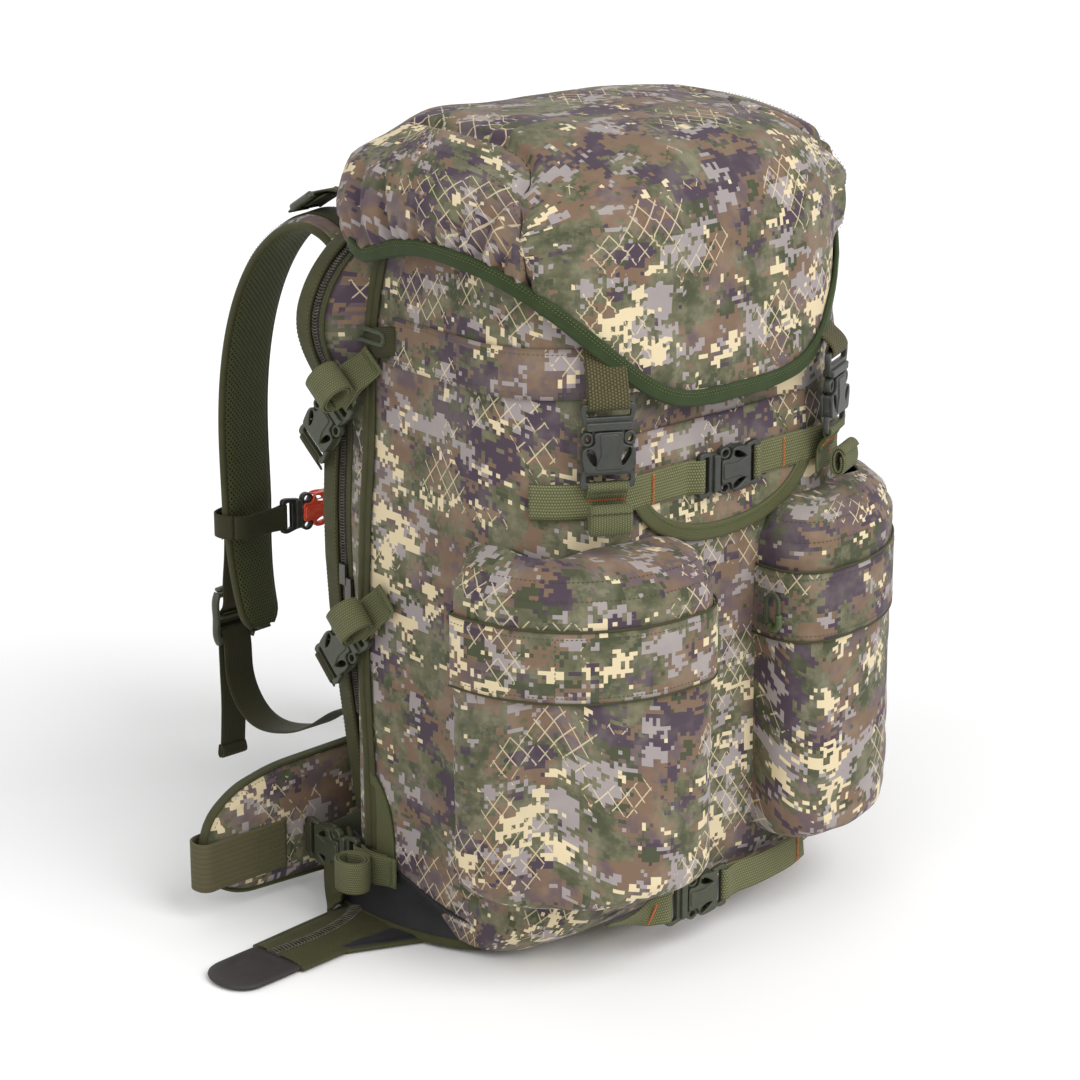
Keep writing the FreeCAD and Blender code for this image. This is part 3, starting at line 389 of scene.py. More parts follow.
class Finish:
    """A material and short names for the nodes it is built from."""

    def __init__(self, name, rough, **shader):
        self.material = bpy.data.materials.new(name)
        self.material.use_nodes = True
        self.tree = self.material.node_tree
        self.shader = self.tree.nodes["Principled BSDF"]
        self.set("Roughness", rough)
        for socket, value in shader.items():
            self.set(socket.replace("_", " "), value)

    def set(self, socket, value):
        self.give(self.shader.inputs[socket], value)

    def give(self, socket, value):
        """Link a socket to a node's output, or set its value."""
        if isinstance(value, bpy.types.NodeSocket):
            self.tree.links.new(value, socket)
        else:
            socket.default_value = value

    def node(self, kind, out=0, settings=(), **inputs):
        """A new node's output. An input is given by its name, or as i and its number."""
        node = self.tree.nodes.new(kind)
        for key, value in settings:
            setattr(node, key, value)
        for key, value in inputs.items():
            numbered = key[0] == "i" and key[1:].isdigit()
            self.give(node.inputs[int(key[1:]) if numbered else key], value)
        return node.outputs[out]

    def math(self, operation, a, b=0.0, c=0.0):
        return self.node("ShaderNodeMath", settings=[("operation", operation)], i0=a, i1=b, i2=c)

    def times(self, a, b):
        return self.math("MULTIPLY", a, b)

    def plus(self, a, b):
        return self.math("ADD", a, b)

    def minus(self, a, b):
        return self.math("SUBTRACT", a, b)

    def scaled(self, value, scale, shift):
        return self.math("MULTIPLY_ADD", value, scale, shift)

    def vector(self, operation, a, b=(0.0, 0.0, 0.0)):
        return self.node("ShaderNodeVectorMath", settings=[("operation", operation)], i0=a, i1=b)

    def cloth(self):
        """Cloth coordinates of the piece, in millimetres."""
        return self.node("ShaderNodeUVMap", settings=[("uv_map", "cloth")])

    def place(self):
        """Place on the object, in millimetres."""
        return self.vector("MULTIPLY", self.node("ShaderNodeTexCoord", "Object"), (1000.0,) * 3)

    def noise(self, where, size, detail=2.0, rough=0.5, shift=0.0):
        if shift:
            where = self.vector("ADD", where, (shift, shift * 1.7, shift * 0.6))
        return self.node("ShaderNodeTexNoise", settings=[("noise_dimensions", "3D")],
                         Vector=where, Scale=1.0 / size, Detail=detail, Roughness=rough)

    def above(self, value, level, soft=0.0):
        """1 where a value is above a level, else 0, with a soft edge if wanted."""
        if not soft:
            return self.math("GREATER_THAN", value, level)
        return self.node("ShaderNodeMapRange", settings=[("interpolation_type", "SMOOTHSTEP")],
                         Value=value, i1=level - soft, i2=level + soft)

    def mix(self, share, a, b, blend="MIX"):
        """Colour b over colour a."""
        node = self.tree.nodes.new("ShaderNodeMix")
        node.data_type = "RGBA"
        node.blend_type = blend
        for number, value in ((0, share), (6, a), (7, b)):
            self.give(node.inputs[number], value)
        return node.outputs[2]

    def bump(self, height, depth, strength=1.0, before=None):
        """Relief of that depth in millimetres."""
        more = {} if before is None else {"Normal": before}
        return self.node("ShaderNodeBump", Strength=strength, Distance=depth * MM, Height=height, **more)

    def wave(self, value, period):
        """A sine wave from 0 to 1 of that period."""
        turn = self.math("SINE", self.times(value, 2 * math.pi / period))
        return self.scaled(turn, 0.5, 0.5)

    def split(self, where):
        node = self.tree.nodes.new("ShaderNodeSeparateXYZ")
        self.tree.links.new(where, node.inputs[0])
        return node.outputs


CREAM = tone(224, 207, 170)
LILAC = tone(160, 151, 150)
OLIVE = tone(107, 105, 82)
DEEP_OLIVE = tone(78, 82, 62)
BROWN = tone(126, 104, 86)
PURPLE = tone(81, 69, 80)
DUSK = tone(106, 91, 94)
LIGHT_OLIVE = tone(138, 133, 110)


def camo():
    """Brushed cloth with a print of square-stepped blotches, and patches of a thin cream diamond net."""
    f = Finish("camo_cloth", 0.94, Sheen_Weight=0.1, Sheen_Roughness=0.45, Specular_IOR_Level=0.12)
    cloth = f.cloth()
    step = 3.1                 # side of the print's squares
    cell = f.vector("FLOOR", f.vector("MULTIPLY", cloth, (1 / step,) * 3))
    at = f.vector("MULTIPLY", cell, (step,) * 3)
    grit = f.node("ShaderNodeTexWhiteNoise", settings=[("noise_dimensions", "2D")], Vector=cell)
    grit = f.scaled(grit, 0.05, -0.025)
    wide = f.vector("MULTIPLY", at, (0.8, 1.1, 1.0))

    def blotches(size, level, shift, rough, lean=0.0):
        value = f.plus(f.noise(wide, size, 5.0, rough, shift), grit)
        if lean:
            value = f.plus(value, f.times(f.minus(region, 0.5), lean))
        return f.above(value, level)

    region = f.noise(cloth, 150.0, 1.0, 0.5, 411.0)
    blur = f.noise(cloth, 26.0, 3.0, 0.6, 77.0)
    smudge = f.noise(cloth, 9.0, 3.0, 0.65, 23.0)
    green = f.mix(f.above(blur, 0.5, 0.14), OLIVE, DEEP_OLIVE)
    green = f.mix(f.times(f.above(smudge, 0.55, 0.12), 0.5), green, LIGHT_OLIVE)
    earth = f.mix(f.above(blur, 0.52, 0.1), BROWN, DUSK)
    colour = f.mix(blotches(72.0, 0.515, 131.0, 0.6), green, earth)
    for paint, size, level, shift, rough, lean in (
            (PURPLE, 40.0, 0.562, 911.0, 0.62, 0.35), (DEEP_OLIVE, 26.0, 0.60, 637.0, 0.64, 0.0),
            (BROWN, 24.0, 0.585, 221.0, 0.66, 0.1), (LILAC, 27.0, 0.565, 307.0, 0.68, -0.15)):
        colour = f.mix(blotches(size, level, shift, rough, lean), colour, paint)
    net_wide, net_high = 13.0, 17.0
    net = f.split(cloth)
    slant_a = f.plus(f.times(net[0], 1 / net_wide), f.times(net[1], 1 / net_high))
    slant_b = f.minus(f.times(net[0], 1 / net_wide), f.times(net[1], 1 / net_high))
    line = f.math("MINIMUM", f.math("PINGPONG", slant_a, 0.5), f.math("PINGPONG", slant_b, 0.5))
    line = f.math("LESS_THAN", line, 0.045)
    patch = f.above(f.plus(f.noise(cloth, 60.0, 1.5, 0.5, 871.0), grit), 0.575)
    holes = f.above(f.noise(cloth, 17.0, 1.0, 0.5, 57.0), 0.40, 0.02)
    colour = f.mix(f.times(f.times(line, patch), f.times(holes, 0.7)), colour, CREAM)
    colour = f.mix(blotches(24.0, 0.602, 503.0, 0.70, -0.25), colour, CREAM)
    nap = f.noise(cloth, 0.8, 3.0, 0.7)
    mottled = f.noise(f.place(), 34.0, 3.0, 0.6, 9.0)
    colour = f.mix(f.times(nap, 0.14), colour, tone(60, 52, 44), "MULTIPLY")
    colour = f.mix(f.times(f.above(mottled, 0.56, 0.1), 0.10), colour, tone(205, 195, 175))
    f.set("Base Color", colour)
    f.set("Roughness", f.scaled(nap, 0.12, 0.84))
    pile = f.bump(nap, 0.25, 0.55)
    f.set("Normal", f.bump(f.noise(cloth, 7.0, 3.0, 0.6, 3.0), 0.5, 0.35, pile))
    return f.material


def woven(name, light, dark, across=1.5, along=1.2, relief=0.28, rough=0.72, ribs=0.0):
    """Webbing: fine threads across, in columns, with a slightly worn face."""
    f = Finish(name, rough, Sheen_Weight=0.04, Specular_IOR_Level=0.2)
    cloth = f.cloth()
    x, y, _ = f.split(cloth)
    column = f.wave(x, across)
    step = f.times(f.math("ROUND", f.times(x, 1 / across)), along / 2)
    pick = f.wave(f.plus(y, step), along)
    weave = f.times(f.math("POWER", column, 0.6), f.math("POWER", pick, 0.7))
    if ribs:
        weave = f.times(weave, f.scaled(f.wave(x, ribs), 0.5, 0.5))
    shade = f.noise(f.place(), 18.0, 3.0, 0.6, 4.0)
    colour = f.mix(weave, dark, light)
    colour = f.mix(f.times(shade, 0.35), colour, dark)
    fuzz = f.noise(cloth, 0.5, 2.0, 0.7, 5.0)
    colour = f.mix(f.times(fuzz, 0.25), colour, tone(40, 38, 28), "MULTIPLY")
    f.set("Base Color", colour)
    f.set("Roughness", f.scaled(weave, -0.14, rough + 0.08))
    f.set("Normal", f.bump(weave, relief, 0.9))
    return f.material


def tape_cloth(name, light, dark):
    """Binding tape: fine diagonal twill with a faint sheen."""
    f = Finish(name, 0.66, Sheen_Weight=0.04, Specular_IOR_Level=0.22)
    cloth = f.cloth()
    x, y, _ = f.split(cloth)
    twill = f.wave(f.plus(x, y), 1.3)
    shade = f.noise(f.place(), 14.0, 3.0, 0.6, 6.0)
    colour = f.mix(f.times(twill, 0.7), dark, light)
    colour = f.mix(f.times(f.above(shade, 0.5, 0.2), 0.4), colour, dark)
    f.set("Base Color", colour)
    f.set("Roughness", f.scaled(shade, 0.2, 0.56))
    f.set("Normal", f.bump(twill, 0.16, 0.8, f.bump(shade, 0.8, 0.4)))
    return f.material


def spacer_mesh(name, light, dark):
    """Spacer mesh: rows of small diamond holes in knitted cloth."""
    wide, high = 4.2, 5.0
    f = Finish(name, 0.78, Sheen_Weight=0.04, Specular_IOR_Level=0.15)
    cloth = f.cloth()
    x, y, _ = f.split(cloth)
    a = f.plus(f.times(x, 1 / wide), f.times(y, 1 / high))
    b = f.minus(f.times(x, 1 / wide), f.times(y, 1 / high))
    hole = f.times(f.wave(a, 1.0), f.wave(b, 1.0))
    hole = f.above(hole, 0.52, 0.2)
    knit = f.wave(f.plus(y, f.times(f.math("PINGPONG", x, wide), 0.8)), 0.9)
    shade = f.noise(f.place(), 22.0, 2.0, 0.6, 8.0)
    colour = f.mix(f.times(knit, 0.5), light, dark)
    # Painted shade: the holes are painted nearly black, as the shade inside them.
    colour = f.mix(hole, colour, tone(14, 16, 8))
    colour = f.mix(f.times(shade, 0.3), colour, dark)
    f.set("Base Color", colour)
    low = f.minus(f.times(knit, 0.2), hole)
    f.set("Normal", f.bump(low, 0.7, 0.9))
    return f.material


def plain_cloth(name, light, dark, grain=1.0, rough=0.8, relief=0.15, sheen=0.2):
    """Plain-woven cloth with faint creases."""
    f = Finish(name, rough, Sheen_Weight=sheen, Specular_IOR_Level=0.3)
    cloth = f.cloth()
    x, y, _ = f.split(cloth)
    weave = f.times(f.wave(x, grain), f.wave(y, grain))
    crease = f.noise(f.place(), 20.0, 4.0, 0.6, 12.0)
    colour = f.mix(weave, dark, light)
    colour = f.mix(f.times(f.above(crease, 0.5, 0.2), 0.4), colour, dark)
    f.set("Base Color", colour)
    f.set("Roughness", f.scaled(crease, 0.2, rough - 0.1))
    f.set("Normal", f.bump(weave, relief, 0.8, f.bump(crease, 1.2, 0.5)))
    return f.material


def moulded(name, colour, edge, rough=0.42):
    """Injection-moulded plastic: fine spark-eroded grain, handling marks, and a highlight painted paler on its
    convex edges.
    """
    f = Finish(name, rough, Specular_IOR_Level=0.5)
    place = f.place()
    grain = f.noise(place, 0.35, 2.0, 0.6)
    marks = f.noise(place, 6.0, 4.0, 0.7, 14.0)
    bend = f.node("ShaderNodeNewGeometry", "Pointiness")
    # Painted highlight: convex edges, where Pointiness is high, are painted in patches towards the paler edge
    # colour.
    mottled = f.times(f.above(bend, 0.54, 0.03), f.above(marks, 0.48, 0.1))
    # The handling marks are mixed towards the paler edge colour, which is also the painted highlight on the edges.
    shade = f.mix(f.times(marks, 0.4), colour, edge)
    f.set("Base Color", f.mix(f.times(mottled, 0.5), shade, edge))
    f.set("Roughness", f.scaled(marks, 0.25, rough - 0.1))
    f.set("Normal", f.bump(grain, 0.06, 0.5))
    return f.material


def metal(name, colour, rough):
    """Bare metal with finger marks."""
    f = Finish(name, rough, Metallic=0.9)
    marks = f.noise(f.place(), 2.5, 4.0, 0.7, 2.0)
    f.set("Base Color", f.mix(f.times(marks, 0.5), colour, tone(150, 148, 140)))
    f.set("Roughness", f.scaled(marks, 0.3, rough - 0.12))
    return f.material


def thread(name, colour):
    """Sewing thread with a fine twist."""
    f = Finish(name, 0.6, Specular_IOR_Level=0.4)
    twist = f.noise(f.place(), 0.4, 2.0, 0.6)
    f.set("Base Color", f.mix(f.times(twist, 0.6), colour, tone(35, 38, 24)))
    return f.material


def braid(name, light, dark):
    """Braided cord."""
    f = Finish(name, 0.6, Sheen_Weight=0.2)
    x, y, _ = f.split(f.cloth())
    plait = f.times(f.wave(f.plus(x, y), 1.6), f.wave(f.minus(y, x), 1.6))
    f.set("Base Color", f.mix(plait, dark, light))
    f.set("Normal", f.bump(plait, 0.25, 0.8))
    return f.material


CAMO = camo()
LINING = plain_cloth("black_lining", tone(32, 30, 32), tone(16, 15, 17), 0.9, 0.55, 0.1, 0.1)
OLIVE_CLOTH = plain_cloth("olive_cloth", tone(66, 68, 44), tone(46, 48, 30), 1.0)
BINDING = tape_cloth("edge_binding", tone(66, 80, 44), tone(38, 50, 24))
DARK_BINDING = tape_cloth("dark_binding", tone(86, 84, 52), tone(52, 52, 30))
FINE_WEBBING = woven("fine_webbing", tone(122, 116, 82), tone(58, 54, 32), 2.3, 2.3, 0.4)
CROSS_WEBBING = woven("cross_webbing", tone(154, 154, 113), tone(84, 86, 56), 2.2, 2.0, 0.4)
FLAT_WEBBING = woven("flat_webbing", tone(112, 114, 76), tone(76, 78, 50), 1.2, 1.0, 0.12, 0.62)
ROLL_WEBBING = woven("roll_webbing", tone(140, 142, 104), tone(78, 80, 52), 1.9, 1.6, 0.35)
DARK_WEBBING = woven("dark_webbing", tone(84, 82, 55), tone(48, 46, 29), 1.4, 1.1, 0.2)
HIP_WEBBING = woven("hip_webbing", tone(126, 120, 88), tone(78, 74, 50), 1.2, 1.0, 0.22, 0.7, 4.2)
MESH_CLOTH = spacer_mesh("spacer_mesh", tone(96, 100, 62), tone(48, 51, 28))
# Each moulded finish: its colour, then the paler colour of its handling marks and of the highlight painted on its
# edges.
GREY_PLASTIC = moulded("grey_plastic", tone(38, 40, 35), tone(76, 78, 71), 0.4)
GREEN_PLASTIC = moulded("green_plastic", tone(47, 50, 36), tone(84, 88, 66))
BLACK_PLASTIC = moulded("black_plastic", tone(36, 34, 32), tone(72, 70, 64))
ORANGE_PLASTIC = moulded("orange_plastic", tone(222, 62, 38), tone(240, 110, 80), 0.35)
SHEET_PLASTIC = moulded("sheet_plastic", tone(38, 38, 38), tone(60, 60, 60), 0.5)
RUBBER = moulded("rubbery_cap", tone(30, 25, 24), tone(50, 45, 43), 0.66)
ALLOY = metal("alloy_bar", tone(190, 190, 195), 0.35)
DARK_METAL = metal("dark_metal", tone(70, 68, 64), 0.4)
COIL = moulded("zip_coil", tone(58, 54, 46), tone(120, 112, 98), 0.35)
ZIP_CLOTH = plain_cloth("zip_tape", tone(52, 52, 36), tone(30, 30, 20), 0.8)
CORD = braid("pull_cord", tone(72, 84, 46), tone(40, 50, 26))
SLEEVE = moulded("cord_sleeve", tone(62, 74, 40), tone(92, 104, 66), 0.5)
GREEN_THREAD = thread("green_thread", tone(112, 122, 74))
SEAM_THREAD = thread("seam_thread", tone(96, 88, 62))
DARK_THREAD = thread("dark_thread", tone(46, 42, 30))
ORANGE_THREAD = thread("orange_thread", tone(250, 132, 66))


# ==== the CAD's driving values ==============================================================================

bag_half, bag_front, bag_rear = 175.0, -110.0, 118.0
bag_floor, rim_z = 10.0, 545.0
belly_z, upper_z, upper_lean, rim_inset = 96.0, 330.0, 14.0, 15.0
front_radius, rear_radius = 82.0, 24.0
lid_half, lid_front, lid_rear, lid_radius, lid_rear_radius = 178.0, -123.0, 135.0, 126.0, 40.0
skirt_z, skirt_side_z, hinge_z = 428.0, 535.0, 576.0
pad_rear = 158.0
seam_y = 90.0
web = 1.6                      # thickness of a webbing
buckle_out = 6.8               # a buckle's middle, out from the cloth under it
strap_widths = {"lid": 30.0, "front": 25.0, "side": 25.0, "chest": 20.0, "hip": 40.0}
cross_z, bottom_z = 371.0, 42.0
chest_mouth = (-76.0, 296.0, 254.0)
hip_front, hip_rear, hip_tip, hip_web_z = 160.0, 174.0, 278.0, 46.0
lid_mouth_z = 424.0
SIDES = (("left", -1), ("right", 1))


def rounded(half, front, rear, r_front, r_rear, counts):
    """Closed outlines, anticlockwise from the middle of the back; each argument is a number per level."""
    half, front, rear, r_front, r_rear = (np.asarray(v, float)[:, None]
                                          for v in (half, front, rear, r_front, r_rear))
    back, corner, side, bend, face = counts

    def line(a, b, count):
        t = np.arange(count) / count
        return np.stack([a[0] + (b[0] - a[0]) * t, a[1] + (b[1] - a[1]) * t], -1)

    def arc(cx, cy, radius, start, count):
        turn = np.radians(start + 90.0 * np.arange(count) / count)
        return np.stack([cx + radius * np.cos(turn), cy + radius * np.sin(turn)], -1)

    left, right = -half, half
    return np.concatenate([
        line((0 * half, rear), (left + r_rear, rear), back),
        arc(left + r_rear, rear - r_rear, r_rear, 90, corner),
        line((left, rear - r_rear), (left, front + r_front), side),
        arc(left + r_front, front + r_front, r_front, 180, bend),
        line((left + r_front, front), (right - r_front, front), face),
        arc(right - r_front, front + r_front, r_front, 270, bend),
        line((right, front + r_front), (right, rear - r_rear), side),
        arc(right - r_rear, rear - r_rear, r_rear, 0, corner),
        line((right - r_rear, rear), (0 * half, rear), back)], 1)


# points along half the back, a rear corner, a side, a front bend and the front
BAG_COUNTS = (30, 8, 30, 30, 46)


def bag_outline(z, out=0.0, counts=BAG_COUNTS):
    """The bag's outer face at some heights, moved outward."""
    z = np.atleast_1d(np.asarray(z, float))
    levels = [bag_floor, 28.4, 56.0, belly_z, upper_z, rim_z]
    half = np.interp(z, levels, [168.0, 171.5, bag_half, bag_half, bag_half, bag_half - rim_inset])
    front = np.interp(z, levels, [-52.0, -87.0, -104.0, bag_front, bag_front, bag_front + upper_lean])
    radius = front_radius - np.where(z < belly_z, (front - bag_front) * 0.8, 0.0)
    same = np.full(len(z), bag_rear)
    plan = rounded(half + out, front - out, same + out, radius + out, np.full(len(z), rear_radius + out), counts)
    return np.concatenate([plan, np.broadcast_to(z[:, None, None], plan.shape[:2] + (1,))], -1)


def cloth_of(points, wrap=False, u0=0.0, v0=0.0):
    """Cloth coordinates of a grid: distance along its middle row, and up each column."""
    rows = points.shape[0]
    middle = points[rows // 2]
    across = lengths(middle, wrap) + u0
    up = np.concatenate([np.zeros((1, points.shape[1])),
                         np.cumsum(np.linalg.norm(np.diff(points, axis=0), axis=-1), 0)]) + v0
    if wrap:
        up = np.concatenate([up, up[:, :1]], 1)
    return np.stack([np.broadcast_to(across, up.shape), up], -1)


def front_at(z):
    """Depth of the bag's front at a height."""
    return bag_front + upper_lean * max(0.0, z - upper_z) / (rim_z - upper_z)


def side_at(z):
    """Half the bag's width at a height."""
    return bag_half - rim_inset * max(0.0, z - upper_z) / (rim_z - upper_z)


# ==== main bag ==============================================================================================

def make_bag():
    """The bag's cloth with its lining: soft all over, fuller and more creased low down."""
    z = np.concatenate([np.linspace(bag_floor, 60, 16), np.linspace(64, rim_z, 118)])
    skin = blur(bag_outline(z), 6, True)
    out = normals(skin, True)
    free = clamp((seam_y - 6.0 - skin[..., 1]) / 40.0) * clamp((skin[..., 2] - 14.0) / 30.0)
    soft = 1.7 * noise(skin * (1.0, 1.0, 0.6), 62.0, 1) + 0.8 * noise(skin, 24.0, 2)
    low = clamp((170.0 - skin[..., 2]) / 130.0)
    soft += low * (1.6 * noise(skin * (1.0, 1.0, 2.2), 40.0, 3) + 0.9 * noise(skin * (1, 1, 2.5), 17.0, 4))
    creases = folds(skin, [
        ((-176, 10, 150), (-150, -80, 96), 7, -2.6), ((-172, -20, 118), (-120, -104, 66), 6, -2.8),
        ((-176, 60, 96), (-168, -40, 62), 7, -3.0), ((-160, -70, 60), (-90, -104, 44), 6, -2.4),
        ((-176, 50, 330), (-172, -30, 300), 9, -1.6), ((-170, 60, 430), (-160, -60, 446), 10, -1.8),
        ((-174, 66, 210), (-176, 0, 190), 8, -1.8), ((176, 10, 150), (150, -80, 96), 7, -2.6),
        ((172, -20, 118), (120, -104, 66), 6, -2.8), ((30, -110, 200), (-20, -110, 120), 9, -2.0),
        ((20, -110, 420), (-60, -106, 400), 12, -1.4), ((0, -110, 330), (30, -110, 240), 10, -1.6)])
    skin = skin + out * (free * (soft + creases))[..., None]
    mesh = Mesh()
    mesh.shell(skin, cloth_of(skin, True), 3.0, True, closed_foot=True)
    piece(mesh, "bag_cloth", [CAMO, LINING], "pack", ["bag_shell"])


def seam_lean(z):
    """How far the side seams wander forward from their line."""
    return 3.0 * np.sin(z / 47.0) + 14.0 * clamp((z - 430) / 100) ** 2


def sides_at(heights):
    return np.array([side_at(z) for z in heights])


def column_at(y, z):
    """Column of the bag's left side nearest to a depth."""
    row = bag_outline([z])[0]
    left = np.arange(38, 90)
    return left[np.argmin(abs(row[left, 1] - y))]


def make_side_seams():
    """Folded green piping down both side seams, with a row of stitches beside it."""
    for name, side in SIDES:
        z = np.linspace(58.0, rim_z - 14.0, 120)
        path = np.stack([side * (sides_at(z) + 2.2), seam_y - seam_lean(z), z], -1)
        mesh = Mesh()
        swell = 1.0 + 0.12 * noise(path, 12.0, 30)
        mesh.sweep(path, (side, 0, 0), ring(3.4, 12, 0.75), scale=swell[:, None])
        mesh.sweep(path + (0, -5.2, 0), (side, 0, 0), tape(8.0, 1.4, 4), shift=(40, 0))
        mesh.stitches(path + (0, -7.6, 0), (side, 0, 0), 1)
        piece(mesh, "side_piping_" + name, [DARK_BINDING, GREEN_THREAD], "pack",
              ["side_bindings"] if side < 0 else ())


def make_front_band():
    """Zip cover strip across the top of the front, its edges turned and stitched."""
    low, high = 443.0, 479.0
    first = column_at(64.0, 460.0)
    back, corner, side, bend, face = BAG_COUNTS
    last = 2 * (back + corner + side + bend) + face - first
    z = np.linspace(low, high, 10)
    skin = bag_outline(z, 2.6)[:, first:last + 1]
    out = normals(skin)
    wave = 0.5 * noise(skin, 26.0, 6) + 0.25 * np.sin(lengths(skin[4]) / 7.0)[None]
    fall = np.minimum(z - low, high - z)[:, None]
    skin = skin + out * (wave - 0.9 * np.exp(-fall / 1.6))[..., None]
    mesh = Mesh()
    mesh.shell(skin, cloth_of(skin, u0=830.0, v0=205.0), 2.2, inside=0)
    out = normals(skin)
    for row in (1, 8):
        mesh.stitches(skin[row], out[row], 1)
    for column in (2, -3):
        mesh.stitches(skin[1:9, column], out[1:9, column], 1)
    piece(mesh, "top_zip_cover", [CAMO, GREEN_THREAD], "pack", ["front_band"])
    tab = Mesh()
    x = side_at(460.0) + 3.4
    path = smooth([(-x, 88.0, 452.0), (-x - 2.0, 76.0, 458.0), (-x - 1.5, 66.0, 461.0), (-x + 1.5, 58.0, 462.0)],
                  2.0)
    tab.sweep(path, (-1, 0, 0), tape(22.0, 1.8, 6))
    piece(tab, "top_cover_tab", [DARK_WEBBING], "pack")


def make_flap():
    """Rounded flap behind the cross strap, edged with tape."""
    half, low, side, top = 88.0, 326.0, 373.0, 412.0
    edge = [(-half, side), (-half * 0.85, 349.5), (-half * 0.5, low + 6), (0, low), (half * 0.5, low + 6),
            (half * 0.85, 349.5), (half, side)]
    line = smooth([(-half, top, 0), (-half, 392.0, 0)] + [(x, z, 0) for x, z in edge] +
                  [(half, 392.0, 0), (half, top, 0)], 3.0)
    x = np.linspace(-half + 0.5, half - 0.5, 60)
    bottom = line[line[:, 1] < 400]
    order = np.argsort(bottom[:, 0])
    foot = np.interp(x, bottom[order, 0], bottom[order, 1])
    t = np.linspace(0, 1, 26)[:, None]
    z = foot[None] + (top - foot[None]) * t
    y = np.vectorize(front_at)(z) - 1.6 - 0.6 * noise(np.stack([np.broadcast_to(x, z.shape), z * 0, z], -1), 30.0,
                                                      11)
    y -= 1.6 * np.exp(-((z - foot[None]) / 9.0))
    skin = np.stack([np.broadcast_to(x, z.shape), y, z], -1)
    mesh = Mesh()
    mesh.shell(skin, np.stack([skin[..., 0] + 300, skin[..., 2]], -1), 1.4, inside=0)
    place = np.array([(px, front_at(pz) - 2.6, pz) for px, pz, _ in line if pz < 364])
    mesh.sweep(place, (0, -1, 0), tape(13.0, 2.2, 6), 1)
    mesh.stitches(place * (0.965, 1, 1) + (0, -1.4, 2.6), (0, -1, 0), 2, 2.7, 1.9, 0.45)
    piece(mesh, "front_flap_cloth", [CAMO, FLAT_WEBBING, GREEN_THREAD], "pack", ["front_flap"])


def make_sling():
    """Black coated lining, folded and stitched under the bag, with a green bound edge on each side."""
    lo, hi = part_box("load_sling")
    lo, hi = np.array(lo) / MM, np.array(hi) / MM
    x = np.linspace(-1, 1, 60)
    y = np.linspace(0, 1, 30)
    wide = hi[0]
    grid = np.zeros((len(y), len(x), 3))
    grid[..., 0] = x[None] * wide * (1 - 0.06 * (1 - y[:, None]) ** 2)
    grid[..., 1] = hi[1] - (hi[1] - lo[1]) * (1 - y[:, None]) - 4.0 * (1 - abs(x[None])) * (1 - y[:, None])
    crown = (1 - abs(x[None]) ** 10) * (1 - (1 - y[:, None]) ** 12)
    grid[..., 2] = 4.0 + 5.2 * crown + 0.8 * noise(grid, 24.0, 14)
    mesh = Mesh()
    mesh.shell(grid, cloth_of(grid), 3.4, inside=0)
    flat = grid.copy()
    flat[..., 2] = 2.2 + 0.9 * crown
    mesh.shell(flat, cloth_of(flat), 2.0, inside=0)
    for end in (0, -1):
        mesh.sweep(grid[:, end] + (0, 0, -0.2), (0, 0, 1), ring(4.5, 10, 0.7), 1)
    mesh.stitches(grid[1, 4:-4], (0, 0, 1), 2)
    piece(mesh, "load_sling_lining", [LINING, DARK_BINDING, DARK_THREAD], "pack", ["load_sling"])
    for name, side in SIDES:
        gusset = Mesh()
        low = smooth([(side * 186, 112, 4), (side * 187, 66, 4.5), (side * 180, 24, 5), (side * 158, -22, 7),
                      (side * 128, -48, 11)], 4.0)
        high = smooth([(side * 174, 112, 62), (side * 176, 66, 50), (side * 174.5, 24, 38), (side * 165, -36, 27),
                       (side * 136, -62, 21)], 4.0)
        low, high = (resample(np.linspace(0, 1, 46), np.linspace(0, 1, len(v)), v) for v in (low, high))
        t = np.linspace(0, 1, 14)[:, None, None]
        sheet = low[None] * (1 - t) + high[None] * t
        slack = np.sin(t[..., 0] * math.pi)
        sheet[..., 0] += side * (-5.0 * slack + 1.6 * slack * noise(sheet, 18.0, 15))
        sheet[..., 2] += 2.0 * slack * noise(sheet, 14.0, 16)
        sheet = sheet if side < 0 else sheet[:, ::-1]
        gusset.shell(sheet, cloth_of(sheet), 1.2, inside=0)
        rear = sheet[:, 0] if side < 0 else sheet[:, -1]
        gusset.sweep(rear + (side * 1.0, 3.0, 0), (side, 0.6, 0), tape(15.0, 3.0, 6), 1)
        gusset.sweep(sheet[0] + (0, 0, 0.6), (side, 0, 0.5), tape(7.0, 2.2, 5), 1)
        drape = smooth([(side * 186, 122, 64), (side * 184, 122, 44), (side * 189, 119, 27), (side * 193, 112, 13),
                        (side * 200, 104, 9.5)], 2.5)
        gusset.sweep(drape, (side, -0.3, 0.3), tape(17.0, 2.6, 6), 1,
                     scale=1.0 + 0.1 * noise(drape, 9.0, 17)[:, None])
        piece(gusset, "sling_gusset_" + name, [LINING, DARK_BINDING], "pack")


